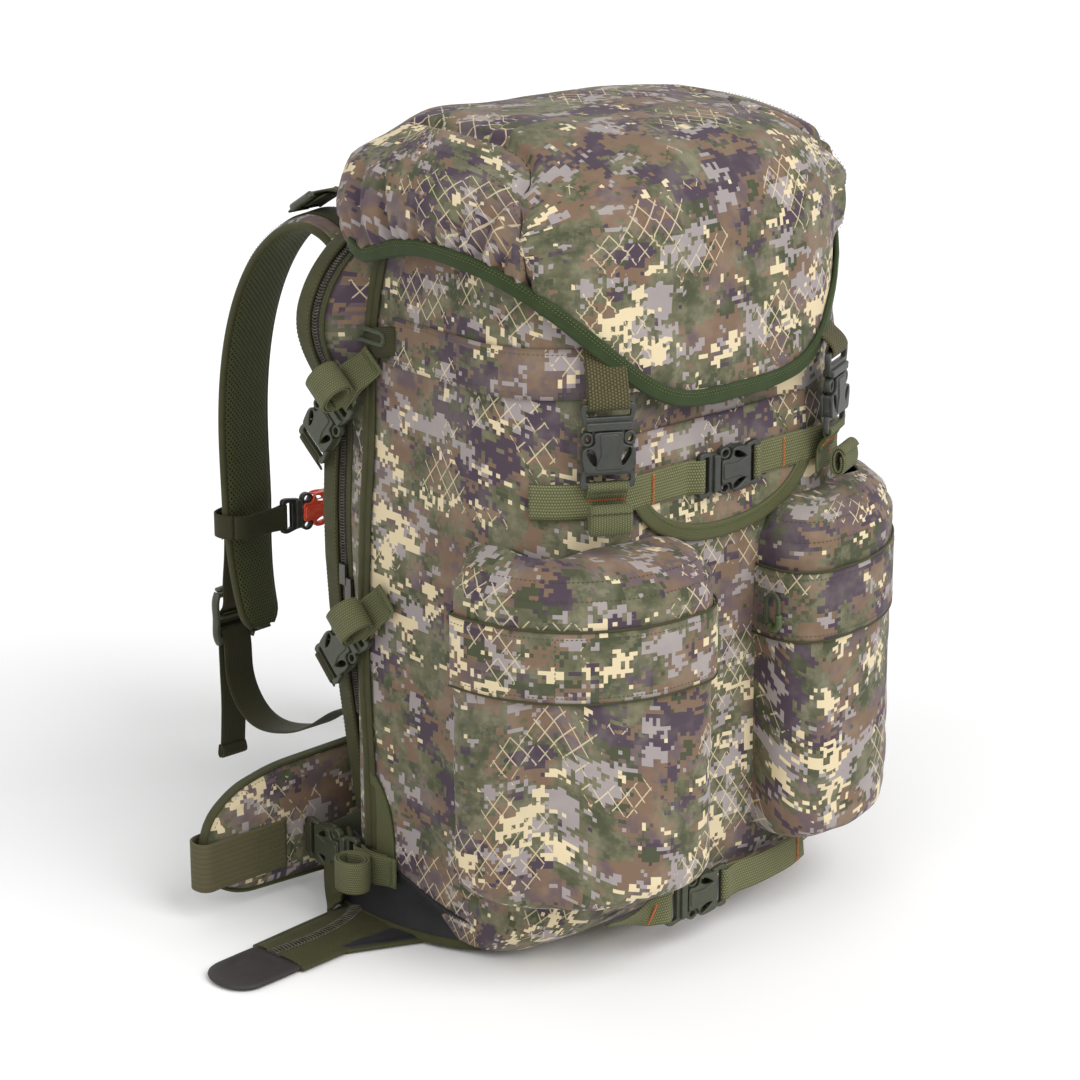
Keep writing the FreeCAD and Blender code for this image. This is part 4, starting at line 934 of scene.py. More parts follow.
def make_rear_gussets():
    """Cloth between the piped side seam and the arch zip, which spreads to the panel's wide shoulders."""
    line = panel_outline(2.0)
    right = line[line[:, 0] > 0]
    right = right[np.argsort(right[:, 1])]
    z = np.linspace(62.0, 536.0, 130)
    edge = np.interp(z, right[:, 1], right[:, 0])
    for name, side in SIDES:
        inner = np.stack([side * (sides_at(z) + 1.2), seam_y + 2.0 - seam_lean(z), z], -1)
        outer = np.stack([side * np.maximum(edge - 2.0, 158.0), np.full(len(z), 111.5), z], -1)
        t = np.linspace(0, 1, 12)[None, :, None]
        sheet = inner[:, None] * (1 - t) + outer[:, None] * t
        bulge = np.sin(t[..., 0] * math.pi)
        sheet[..., 0] += side * bulge * (0.8 + 1.1 * noise(sheet, 22.0, 18))
        sheet = sheet[:, ::-1] if side < 0 else sheet
        mesh = Mesh()
        mesh.shell(sheet, np.stack([sheet[..., 1] + 700.0 * side, sheet[..., 2] + 77.0], -1), 1.6)
        rear = sheet[:, 1] if side < 0 else sheet[:, -2]
        mesh.stitches(rear + (side * 0.4, 0, 0), (side, 0, 0), 2)
        piece(mesh, "rear_gusset_" + name, [CAMO, LINING, SEAM_THREAD], "pack")


def make_corner_tabs():
    """Quarter-round green patches that carry the low side straps at the bag's rear corners."""
    for name, side in SIDES:
        z = np.linspace(40.0, 122.0, 24)
        reach = 34.0 * np.sqrt(clamp(1 - ((z - 62.0) / 62.0) ** 2))
        t = np.linspace(0, 1, 14)
        y = (seam_y + 3.0) - reach[:, None] * t[None]
        x = sides_at(z)[:, None] + 2.8 - 2.2 * clamp((seam_y - 12.0 - y) / 40.0)
        high = np.broadcast_to(z[:, None], x.shape)
        skin = np.stack([side * (x + 0.5 * noise(np.stack([x, y, high], -1), 14.0, 19)), y, high], -1)
        skin = skin if side < 0 else skin[:, ::-1]
        mesh = Mesh()
        mesh.shell(skin, cloth_of(skin), 2.0, inside=0)
        column = -2 if side < 0 else 1
        mesh.stitches(skin[1:-1, column], (side, 0, 0), 1)
        piece(mesh, "corner_tab_" + name, [FLAT_WEBBING, GREEN_THREAD], "pack")


def make_collar():
    """Gathered drawstring throat, its drawcord and cord lock."""
    middle = (bag_front + upper_lean + bag_rear) / 2
    levels = np.array([527.0, 545.0, 560.0, 574.0])
    half = [156.0, 156.0, 108.0, 62.0]
    front = [-92.0, -92.0, middle - 67.0, middle - 43.0]
    rear = [106.0, 106.0, middle + 67.0, middle + 43.0]
    corner = [78.0, 78.0, 54.0, 37.0]
    back = [18.0, 18.0, 30.0, 37.0]
    z = np.concatenate([np.linspace(527, 545, 6), np.linspace(547, 574, 16)])
    at = [np.interp(z, levels, v) for v in (half, front, rear, corner, back)]
    plan = rounded(*at, (30, 10, 30, 30, 46))
    skin = np.concatenate([plan, np.broadcast_to(z[:, None, None], plan.shape[:2] + (1,))], -1)
    out = normals(skin, True)
    count = skin.shape[1]
    turn = np.arange(count) / count * 2 * math.pi
    drawn = clamp((z - 543.0) / 22.0)[:, None]
    wave = (1.9 * np.sin(turn * 34) + 0.9 * np.sin(turn * 53 + 1.0))[None] * drawn
    skin = skin + out * wave[..., None]
    mesh = Mesh()
    mesh.shell(skin, cloth_of(skin, True), 1.0, True, inside=0)
    piece(mesh, "collar_cloth", [LINING], "pack", ["bag_collar"])
    cord = Mesh()
    cord_run, cord_radius, lock_radius = 49.6, 2.0, 7.0
    angle = np.linspace(0, 2 * math.pi, 120, endpoint=False)
    loop = np.stack([cord_run * np.cos(angle), middle + cord_run * np.sin(angle),
                     576.8 + 0.4 * np.sin(angle * 17)], -1)
    cord.sweep(loop, (0, 0, 1), ring(cord_radius, 10), closed=True)
    lock_y = middle - cord_run - cord_radius - lock_radius - 0.8
    barrel = [(-10.0, 0.72), (-9.0, 0.92), (-6.5, 1.0), (-1.5, 1.0), (-1.0, 0.84), (1.0, 0.84), (1.5, 1.0),
              (6.5, 1.0), (9.0, 0.92), (10.0, 0.72)]
    path = [(x, lock_y, 577.8) for x, _ in barrel]
    cord.sweep(path, (0, 0, 1), ring(lock_radius, 20), 1, scale=np.array([[s] for _, s in barrel]))
    piece(cord, "collar_drawcord", [CORD, BLACK_PLASTIC], "pack", ["collar_cord"])


# ==== lid ===================================================================================================

def skirt_at(y):
    """Height of the lid's swept edge at a depth."""
    profile = smooth([(lid_front + 1, skirt_z, 0), (lid_front + 14, skirt_z + 38, 0),
                      (lid_front + 44, skirt_side_z - 27, 0), (lid_front + 82, skirt_side_z - 4, 0),
                      (lid_front + 140, skirt_side_z, 0), (lid_front + 190, skirt_side_z - 12, 0),
                      (bag_rear - 12.0, skirt_side_z - 40, 0)], 2.0)
    return np.interp(y, profile[:, 0], profile[:, 1])


def make_lid():
    """Front and top in one cut with a gathered gusset on each side, over a smooth lining."""
    # each level of the dome: height, and how far its side, front and rear are drawn in
    dome = np.array([(408, 1, 3, 0), (518, -1, -1, 0), (556, 3, 3, 1), (584, 11, 13, 7), (602, 26, 30, 17),
                     (612, 48, 52, 30), (616, 84, 84, 48), (617, 120, 108, 72), (617.5, 150, 122, 96),
                     (617.8, 172, 128, 118)], float)
    travel = lengths(dome[:, :2])
    dome_foot = 556.0
    counts = (40, 16, 66, 70, 40)      # as BAG_COUNTS
    below, above = 52, 70      # rows of the skirt and of the dome
    first = rounded([lid_half], [lid_front], [lid_rear], [lid_radius], [lid_rear_radius], counts)[0]
    count = len(first)
    t = np.linspace(np.interp(dome_foot, dome[:, 0], travel), travel[-1], above)
    start = np.zeros((below, count, 3))

    def outline(z, side_in, front_in, rear_in):
        z, side_in, front_in, rear_in = (np.asarray(v, float) for v in (z, side_in, front_in, rear_in))
        half = lid_half - side_in
        front = lid_front + front_in
        rear = lid_rear - rear_in
        deep = rear - front
        radius = np.minimum(np.minimum(lid_radius, half - 2.0), (deep - 2.0) * 0.74)
        back = np.minimum(lid_rear_radius, deep * 0.2)
        plan = rounded(half, front, rear, radius, back, counts)
        return np.concatenate([plan, np.broadcast_to(np.asarray(z)[:, None, None], plan.shape[:2] + (1,))], -1)

    upper_levels = [np.interp(t, travel, dome[:, k]) for k in range(4)]
    upper = outline(*upper_levels)
    base = outline([480.0], [0.0], [0.0], [0.0])[0]
    edge = np.where(base[:, 1] > bag_rear - 12.0, hinge_z - 22.0, skirt_at(base[:, 1]))
    edge = np.minimum(edge, 554.0)
    even_rounds = 150
    for _ in range(even_rounds):
        edge = (edge * 2 + np.roll(edge, 1) + np.roll(edge, -1)) / 4
    share = np.linspace(0, 1, below, endpoint=False)[:, None]
    z = edge[None] + (dome_foot - edge[None]) * share
    side_in = np.interp(z, dome[:, 0], dome[:, 1])
    front_in = np.interp(z, dome[:, 0], dome[:, 2])
    flat = outline(np.full(below, 0.0), np.median(side_in, 1), np.median(front_in, 1), np.zeros(below))
    start[..., :2] = flat[..., :2]
    start[..., 2] = z
    skin = np.concatenate([start, upper])
    skin = blur(skin, 24, True)
    out = normals(skin, True)
    x, y, high = skin[..., 0], skin[..., 1], skin[..., 2]
    on_side = clamp((abs(x) - 120) / 30)
    gusset = on_side * clamp((y + 84) / 8) * clamp((613 - high) / 30)
    along = lengths(first)[None]
    rise = np.clip(high - edge, 0, None)
    free = clamp((rise - 5.0) / 9.0)
    free = free * free * (3 - 2 * free)
    pleat = np.sin(along / 1.7 + 2.0 * noise(skin * (1, 1, 0.2), 24.0, 21)) * np.exp(-rise / 13.0)
    wide = noise(skin * (0.3, 1.0, 0.3), 24.0, 26)
    puff = np.sin(clamp(rise / 92.0) * math.pi) ** 0.6
    push = gusset * free * (1.1 * pleat + puff * (3.5 * wide + 9.0))
    on_plane = skin * (0.0, 1.0, 1.0)
    # each gather of the elastic edge: depth of its foot, height, lean and width
    gathers = [(-68, 34, -3, 3.0), (-60, 26, -2, 2.6), (-51, 64, -13, 4.4), (-43, 24, -3, 2.6), (-35, 58, -15, 4.4),
               (-26, 20, -2, 2.4), (-17, 30, -3, 3.2), (-8, 18, 0, 2.4), (1, 26, 1, 3.0), (10, 18, 1, 2.4),
               (19, 30, 3, 3.2), (28, 20, 2, 2.4),
               (38, 26, 5, 2.8), (48, 54, 16, 4.2), (58, 24, 5, 2.6), (66, 30, 8, 3.0), (74, 66, 15, 4.6),
               (84, 40, 8, 3.6)]
    for foot_y, height, lean, width in gathers:
        foot_z = float(skirt_at(foot_y))
        groove = near(on_plane, (0, foot_y, foot_z + 8.0), (0, foot_y + lean, foot_z + height))
        fade = clamp(1.2 - (high - foot_z) / (height + 10.0))
        lip = np.exp(-((groove - 2.1 * width) / width) ** 2)
        push -= gusset * free * fade * width * (2.1 * np.exp(-(groove / width) ** 2) - 0.5 * lip)
    push += 1.3 * noise(skin * (1, 1, 0.7), 70.0, 23) + 0.6 * noise(skin, 26.0, 24)
    seam_line = [(158, -88, 470), (169, -80, 530), (171, -74, 562), (165, -66, 583), (153, -60, 598),
                 (138, -52, 607), (127, -38, 612), (122, -8, 614), (121, 34, 614), (123, 86, 611)]
    flat_skin = skin.reshape(-1, 3)
    seam, seam_paths = [], []
    for side in (-1, 1):
        line = even(smooth(seam_line, 4.0), 7.0) * (side, 1, 1)
        line = line[line[:, 2] > float(skirt_at(-82.0)) + 9.0]
        on_cloth = nearest(flat_skin, line)
        seam_paths.append(on_cloth)
        line = flat_skin[on_cloth]
        seam += [(a, b, *((2.6, -4.6) if b[2] < 590 else (3.8, -7.0))) for a, b in zip(line[:-1], line[1:])]
    dents = [((40, -124, 470), (-60, -124, 500), 22, -1.6), ((70, -120, 560), (10, -122, 520), 18, -1.4),
              ((150, -80, 520), (110, -110, 470), 14, -1.8), ((-120, -110, 520), (-60, -122, 490), 16, -1.6)]
    push += folds(skin, dents) + crease(skin, seam)
    crown = clamp((high - 600) / 12) * np.exp(-((abs(x) - 96) / 42) ** 2) * clamp((y + 60) / 40)
    push += np.where(x < 0, 5.0, -3.0) * crown
    skin = skin + out * push[..., None]
    mesh = Mesh()
    lid_shell(mesh, skin, lid_coords(skin, base))
    for path in seam_paths:
        line = smooth(skin.reshape(-1, 3)[path], 3.0)
        line = blur(line[:, None], 4)[:, 0]
        outward = unit(line - (0, 0, 520))
        mesh.sweep(line + outward * 0.2, outward, ring(0.75, 6), 2)
    piece(mesh, "lid_cloth", [CAMO, LINING, DARK_THREAD], "lid", ["lid_shell"])
    return skin


def nearest(points, goals):
    """Number of the point that is nearest to each goal."""
    return [int(np.argmin(((points - goal) ** 2).sum(1))) for goal in goals]


def crease(points, segments):
    """One groove along joined segments, which doesn't deepen where they meet."""
    push = np.zeros(points.shape[:-1])
    for a, b, width, depth in segments:
        push = np.minimum(push, depth * np.exp(-(near(points, a, b) / width) ** 2))
    return push


def lid_coords(skin, base):
    """Cloth coordinates of the lid's cuts: the panel over front, top and back, and the side gussets."""
    front = int(np.argmin(abs(base[:, 0]) + 1000 * (base[:, 1] > 0)))
    middle = np.concatenate([skin[:, front], skin[::-1, 0]])[:, 1:]
    travel = lengths(middle)
    run = travel[nearest(middle, skin.reshape(-1, 3)[:, 1:])].reshape(skin.shape[:2])
    around = lengths(base)
    arc = np.abs(around - around[front])
    bent = np.where(base[:, 1] < 20, np.sign(base[:, 0]) * arc, base[:, 0])[None]
    low = clamp((596.0 - skin[..., 2]) / 40.0) * (skin[..., 1] < 20)
    panel = np.stack([skin[..., 0] * (1 - low) + bent * low + 1500.0, run + 60.0], -1)
    sideways = np.stack([around[None] + 500.0 * np.sign(skin[..., 0]),
                         skin[..., 2] + 0.9 * (lid_half - abs(skin[..., 0])) - 340.0], -1)
    return [np.concatenate([c, c[:, :1]], 1) for c in (panel, sideways)]


def lid_shell(mesh, skin, both):
    """The dome and skirt, closed over the top."""
    calm = blur(skin, 60, True)
    deep = clamp(np.arange(len(skin)) / 8.0)[:, None, None]
    inner = (skin - normals(skin, True) * 3.0) * (1 - deep) + (calm - normals(calm, True) * 7.5) * deep
    rows, columns = skin.shape[:2]
    coords = both[0]
    faces, corners = quads((rows, columns), coords, True)
    middle = skin.reshape(-1, 3)[faces].mean(1)
    front_edge = np.interp(middle[:, 2], [470, 530, 562, 583, 598, 607, 612],
                           [-82.0, -74.0, -68.0, -60.0, -55.0, -48.0, -36.0])
    side_edge = np.interp(middle[:, 2], [562, 583, 598, 607, 614], [147.0, 147.0, 140.0, 132.0, 121.0])
    gusset = (abs(middle[:, 0]) > side_edge) & (middle[:, 1] > front_edge)
    corners = np.where(gusset[:, None, None], quads((rows, columns), both[1], True)[1], corners)
    start = mesh.count
    mesh.add(skin, faces, corners, 0)
    mesh.add(inner, faces[:, ::-1], corners[:, ::-1], 1)
    offset = rows * columns
    edge = np.append(np.arange(columns), 0)[::-1]
    strip = np.stack([edge[:-1], edge[1:], edge[1:] + offset, edge[:-1] + offset], -1)
    along = coords[0][::-1]
    flat = np.stack([along[:-1], along[1:], along[1:], along[:-1]], 1)
    mesh.more(strip, flat, start, 0)
    top = (rows - 1) * columns
    for ring_at, mat in ((0, 0), (offset, 1)):
        ring_points = (skin if mat == 0 else inner)[-1]
        number = mesh.count - start
        mesh.points.append(ring_points.mean(0).reshape(1, 3))
        mesh.count += 1
        a = np.arange(columns)
        b = (a + 1) % columns
        tri = np.stack([a + top + ring_at, b + top + ring_at, np.full(columns, number)], -1)
        span = ring_points - ring_points.mean(0)
        middle = coords[-1].mean(0)
        flat = np.stack([span[a, :2], span[b, :2], np.zeros((columns, 2))], 1) + middle
        mesh.more(tri, flat, start, mat)


def make_lid_binding(skin):
    """Green tape folded over the lid's edge: smooth at the front, gathered by elastic on the sides."""
    path = even(skin[0][skin[0][:, 1] < bag_rear - 21.0], 3.0)
    out = unit(np.stack([path[:, 0] / 1.3, path[:, 1] - 10.0, 0 * path[:, 0]], -1))
    down = unit(np.cross(directions(path), out))
    path = path + (0, 0, 5.2)
    gathered = clamp((abs(path[:, 0]) - 120) / 40) * clamp((path[:, 1] + 60) / 30)
    path = blur(path[:, None], 8)[:, 0]
    path = path + out * (1.4 + 0.5 * gathered + 0.35 * noise(path, 7.0, 40) * (0.4 + gathered))[:, None]
    width = 1.0 + 0.03 * noise(path, 9.0, 41)
    mesh = Mesh()
    mesh.sweep(path, out, tape(12.5, 3.4, 9), scale=width[:, None])
    for rise in (3.9, 1.9):
        mesh.stitches(path - down * rise + out * 1.8, out, 1, 2.7, 1.9, 0.45)
    piece(mesh, "lid_edge_tape", [BINDING, GREEN_THREAD], "lid", ["lid_binding"])
    seams = Mesh()
    flat = skin.reshape(-1, 3)
    for side in (-1, 1):
        line = smooth([(side * 160, -88, 476), (side * 172, -81, 545), (side * 160, -66, 588),
                       (side * 152, -22, 600), (side * 150, 70, 599)], 3.0)
        line = even(blur(flat[nearest(flat, line)][:, None], 6)[:, 0], 3.0)
        outward = unit(line - (0, 0, 470))
        seams.stitches(line + outward * 0.6, outward, 0, 3.6, 2.2, 0.36)
    piece(seams, "lid_seam_stitches", [DARK_THREAD], "lid")
    strip = Mesh()
    x = np.linspace(-118, 118, 50)
    path = smooth([(0, 139.0, 527.0), (0, 139.2, 552.0), (0, 138.4, 566.0), (0, 136.6, 577.0), (0, 133.0, 588.0)],
                  3.0)
    grid = np.stack(np.broadcast_arrays(x, path[:, 1:2] + 0.5 * np.sin(x / 6), path[:, 2:]), -1)[:, ::-1]
    strip.shell(grid, cloth_of(grid), 1.4, inside=0)
    for level in (1, -2):
        strip.stitches(grid[level, ::-1] + (0, 0.3, 0), (0, 1, 0), 1)
    piece(strip, "lid_hinge_cloth", [OLIVE_CLOTH, GREEN_THREAD], None, ["lid_hinge_strip"],
          ("pack", "lid", (0, 139, 560), (0, 137, 586)))


# ==== pockets ===============================================================================================

pocket_inner, pocket_outer, pocket_front = 37.0, 203.0, -158.0
pocket_floor, pocket_seam, pocket_top, band_low = 68.0, 287.0, 334.0, 235.0
split_y = -114.0               # a pocket's cap bends behind this depth
POCKET_COLUMNS = 96


def pocket_line(inset):
    """Plan of the left pocket, from the bag's side round the front to its inner edge."""
    inner_x, outer_x, front = -pocket_inner - inset, -pocket_outer + inset, pocket_front + inset
    r_in, r_out = 34.0 - inset * 0.4, 116.0 - inset * 1.6
    points = [(-171.0 + inset * 0.2, -30.0), (-184.0 + inset * 0.6, -33.0), (outer_x + 6.0, -38.0)]
    for centre_x, radius, turns in ((outer_x + r_out, r_out, np.linspace(180, 270, 34)),
                                    (inner_x - r_in, r_in, np.linspace(270, 360, 20))):
        points += [(centre_x + radius * math.cos(a), front + radius + radius * math.sin(a))
                   for a in np.radians(turns)]
    points.append((inner_x, -104.0))
    points = np.array(points)
    at = lengths(points)
    return resample(np.linspace(0, at[-1], POCKET_COLUMNS), at, points)


def pocket_grid(levels):
    """Grid of the left pocket: each level is (z, inset, how far it is drawn to the bag)."""
    rows = []
    for z, inset, drawn in levels:
        line = pocket_line(inset)
        goal = np.stack([np.clip(line[:, 0], -168.0, -42.0), np.full(len(line), -103.0)], -1)
        goal[:, 1] = np.where(line[:, 0] < -150, np.maximum(-103.0, line[:, 1] + 4.0), goal[:, 1])
        line = line * (1 - drawn) + goal * drawn
        rows.append(np.concatenate([line, np.full((len(line), 1), z)], -1))
    return blur(np.array(rows), 3)


def make_pocket(name, side):
    """One pocket: body, hinged cap, and the band that covers its zip."""
    flip = np.array([side * -1.0, 1.0, 1.0])

    def turned(grid):
        grid = grid * flip
        return grid if side < 0 else grid[:, ::-1]

    seed = 50 if side < 0 else 60
    floor = [(pocket_floor, 22.0, d) for d in (1.0, 0.66, 0.33)]
    curve = [(pocket_floor + 22.0 - 22.0 * math.cos(a), 22.0 - 22.0 * math.sin(a), 0.0)
             for a in np.linspace(0, 1.57, 10)]
    walls = [(z, 0.0, 0.0) for z in np.linspace(94.0, pocket_seam - 0.8, 44)]
    grid = pocket_grid(floor + curve + walls)
    out = normals(grid)
    z = grid[..., 2]
    sag = clamp(1 - abs(z - 120.0) / 90.0)
    across = lengths(grid[25])[None]
    free = np.minimum(across, across[:, -1:] - across)
    free = clamp((free - 12.0) / 30.0) * clamp((pocket_seam - z) / 30.0)
    push = free * (1.9 * noise(grid * (1, 1, 0.6), 52.0, seed) + 0.9 * noise(grid, 21.0, seed + 1) + 1.2 * sag)
    push += free * folds(grid, [
        ((-196, -60, 100), (-150, -140, 92), 8, -2.6), ((-120, -158, 96), (-60, -156, 104), 8, -2.2),
        ((-200, -70, 200), (-170, -120, 190), 9, -2.0), ((-70, -158, 210), (-44, -140, 150), 7, -2.0),
        ((-110, -158, 226), (-130, -156, 160), 10, -1.4), ((-190, -90, 150), (-160, -130, 128), 9, -2.0),
        ((-50, -150, 120), (-90, -158, 84), 8, -2.0)])
    grid = grid + out * push[..., None]
    grid = turned(grid)
    coords = cloth_of(grid, u0=1300.0 + 500 * (side > 0), v0=40.0)
    mesh = Mesh()
    mesh.shell(grid, coords, 2.5)
    out = normals(grid)
    edge = POCKET_COLUMNS - 4 if side < 0 else 3
    mesh.stitches(grid[10:, edge], out[10:, edge], 2)
    piece(mesh, "pocket_body_" + name, [CAMO, LINING, SEAM_THREAD], "pack", ["pocket_" + name])

    rise = pocket_top - pocket_seam - 14.0
    walls = [(v, 0.0, 0.0) for v in np.linspace(pocket_seam, pocket_seam + 13.0, 5)]
    curve = [(pocket_top - rise + rise * math.sin(a), rise * (1 - math.cos(a)) * 0.94, 0.0)
             for a in np.linspace(0.08, 1.57, 14)]
    roof = [(pocket_top + 0.6 * d, rise * 0.94, d) for d in (0.25, 0.5, 0.75, 1.0)]
    grid = pocket_grid(walls + curve + roof)
    out = normals(grid)
    high = clamp((grid[..., 2] - pocket_seam - 4.0) / 20.0)
    push = high * (1.3 * noise(grid, 40.0, seed + 2) + 0.6 * noise(grid, 17.0, seed + 3))
    seam_row = 9
    push[seam_row] -= 1.6
    push[seam_row - 1] -= 0.5
    push[seam_row + 1] -= 0.5
    grid = grid + out * push[..., None]
    line = pocket_line(0.0)
    cut, last = (int(k) for k in np.flatnonzero(line[:, 1] < split_y)[[0, -1]])
    band = [(v, -3.4 + 0.35 * math.sin(v * 0.9), 0.0) for v in np.linspace(band_low, pocket_seam + 2.0, 12)]
    strip = pocket_grid(band)
    wave = 0.45 * noise(strip, 24.0, seed + 4)
    fall = np.minimum(strip[..., 2] - band_low, pocket_seam + 2.0 - strip[..., 2])
    strip = strip + normals(strip) * (wave - 1.1 * np.exp(-fall / 2.0))[..., None]
    part, cover = turned(grid), turned(strip)
    mesh = Mesh()
    mesh.shell(part, cloth_of(part, u0=1900.0 + 400 * (side > 0), v0=500.0), 2.4)
    mesh.shell(cover, cloth_of(cover, u0=2500.0 + 400 * (side > 0), v0=300.0), 1.9, inside=0)
    out = normals(part)
    for row in (seam_row - 2, seam_row + 2):
        mesh.stitches(part[row] + out[row] * 0.3, out[row], 2)
    out = normals(cover)
    for row in (1, -2):
        mesh.stitches(cover[row], out[row], 2)
    first, last = (cut + 2, last - 1) if side < 0 else (POCKET_COLUMNS - last, POCKET_COLUMNS - 3 - cut)
    for column in (first, last):
        mesh.stitches(cover[1:-1, column], out[1:-1, column], 2)
    mesh.sweep(cover[-1] + (0, 0, 0.4), out[-1], ring(1.0, 8), 3)
    mesh.sweep(cover[0] + (0, 0, 0.3), out[0], ring(0.95, 8), 3)
    piece(mesh, "pocket_cap_" + name, [CAMO, LINING, SEAM_THREAD, DARK_BINDING], None,
          ["pocket_lid_" + name], ("pack", "pocket_cap_" + name, (side * 181.0, -98.0, 300.0),
                                   (side * 158.0, -126.0, 300.0)))


# ==== straps ================================================================================================

def lid_mouth(side):
    """A lid buckle's mouth: its place, which way its strap comes in reverse, and outward."""
    x = 112.0 + side * -7.0
    reach = lid_radius + 2.5 + 7.4 - 1.5 - 0.7 + 0.5
    centre_x, centre_y = lid_half - lid_radius, lid_front + lid_radius
    turn = math.asin((x - centre_x) / reach)
    outward = (side * math.sin(turn), -math.cos(turn), 0.0)
    return (side * x, centre_y - reach * math.cos(turn), lid_mouth_z), (0, 0, -1), outward


def side_mouth(side, mouth_y, mouth_z, slope):
    """The same for a side strap's buckle, which falls towards the rear."""
    fall = math.radians(slope)
    return (side * 184.0, mouth_y, mouth_z), (0, math.cos(fall), -math.sin(fall)), (side, 0, 0)


def setting(origin, along, outward):
    """Places points given as (along, across, outward) from a buckle's mouth."""
    origin, along, outward = (np.array(v, float) for v in (origin, along, outward))
    across = np.cross(outward, along)

    def place(points):
        points = np.asarray(points, float).reshape(-1, 3)
        return origin + points[:, :1] * along + points[:, 1:2] * across + points[:, 2:] * outward
    return place, along, outward


def webbing(mesh, path, normal, width, seed):
    """A webbing along a line; its width is slightly uneven."""
    step, few = 2.5, 12
    path = smooth(path, step) if len(path) < few else even(np.asarray(path, float), step)
    if np.ndim(normal) == 1:
        normal = np.broadcast_to(normal, path.shape)
    else:
        normal = resample(np.linspace(0, 1, len(path)), np.linspace(0, 1, len(normal)), np.asarray(normal))
    uneven = 1.0 + 0.012 * noise(path, 11.0, 70 + seed)
    size = np.stack([uneven, np.ones(len(path))], -1)
    mesh.sweep(path, normal, tape(width, web), shift=(width / 2, 0.0), scale=size)


def bartack(mesh, centre, along, outward, width, mat):
    """A dense zigzag of thread across a webbing."""
    centre, along, outward = (np.array(v, float) for v in (centre, along, outward))
    across = np.cross(outward, along)
    count = int(width / 0.8)
    points = [centre + across * (k / count - 0.5) * width + along * (1.1 if k % 2 else -1.1)
              for k in range(count + 1)]
    mesh.sweep(np.array(points), outward, ring(0.5, 5), mat)


def coil(mesh, place, centre, half_x, half_z, width, turns, start):
    """Excess webbing rolled up on itself: centre and sizes are in the buckle's frame."""
    gap = web + 0.7
    points = []
    for t in np.linspace(0, turns, int(turns * 40)):
        angle = start + t * 2 * math.pi
        rx, rz = half_x - gap * t, half_z - gap * t
        points.append((centre[0] + rx * math.cos(angle), 0.0, centre[1] + rz * math.sin(angle)))
    points = np.array(points)
    path = place(points)
    middle = place([(centre[0], 0.0, centre[1])])[0]
    mesh.sweep(path, unit(path - middle), tape(width, web), shift=(width / 2, 0))


def make_lid_straps():
    """Webbings that hang from under the lid's edge to their buckles, and their tails on the bag."""
    width = strap_widths["lid"]
    for name, side in SIDES:
        mouth = lid_mouth(side)
        place, along, out = setting(*mouth)
        hang = Mesh()
        edge = -skirt_at(mouth[0][1] - out[1] * 10.0) + lid_mouth_z
        path = place([(edge - 12, 0, -14.5), (edge - 4, 0, -13.6), (edge + 3, 0, -9.5), (-24.5, 0, 1.2),
                      (-19, 0, 3.1), (-15.0, 0, 1.0)])
        webbing(hang, path, out, width, 1)
        back = place([(edge + 5, 0, -11.0), (-25.5, 0, -1.6), (-19, 0, -2.9), (-15.0, 0, -0.6)])
        webbing(hang, back, out, width, 2)
        piece(hang, "lid_strap_" + name, [FINE_WEBBING, GREEN_THREAD], None,
              ["lid_straps"] if side < 0 else (), ("lid", "lid_plug_" + name, place([(edge + 2, 0, 0)])[0],
                                                   place([(-20, 0, 0)])[0]))
        tail = Mesh()
        skin_z = -7.2
        path = place([(38.0, 0, 1.0), (41, 0, 3.0), (45, 0, 0.4), (49, 0, skin_z + 3), (56, 0, skin_z),
                      (74, 0, skin_z - 0.3)])
        webbing(tail, path, out, width, 3)
        front = place([(39.0, 0, -1.0), (43, 0, -2.6), (47, 0, -1.0), (52, 0, skin_z + 2.4), (57, 0, skin_z + 2.0)])
        webbing(tail, front, out, width, 4)
        coil(tail, place, (63.7, 9.2), 11.5, 6.8, width, 2.0, 2.2)
        bartack(tail, place([(52, 0, skin_z + 3.4)])[0], along, out, 27.0, 1)
        piece(tail, "lid_strap_tail_" + name, [ROLL_WEBBING, ORANGE_THREAD], "pack",
              ["lid_strap_tails"] if side < 0 else ())


def ring_at(z, out_by, x0, x1):
    """Points round the bag's front at a height, from one x to another."""
    fine_counts = (30, 8, 40, 60, 120)
    row = bag_outline([z], out_by, fine_counts)[0]
    front = row[row[:, 1] < 20.0]
    front = front[np.argsort(front[:, 0], kind="stable")]
    return front[(front[:, 0] >= x0) & (front[:, 0] <= x1)]


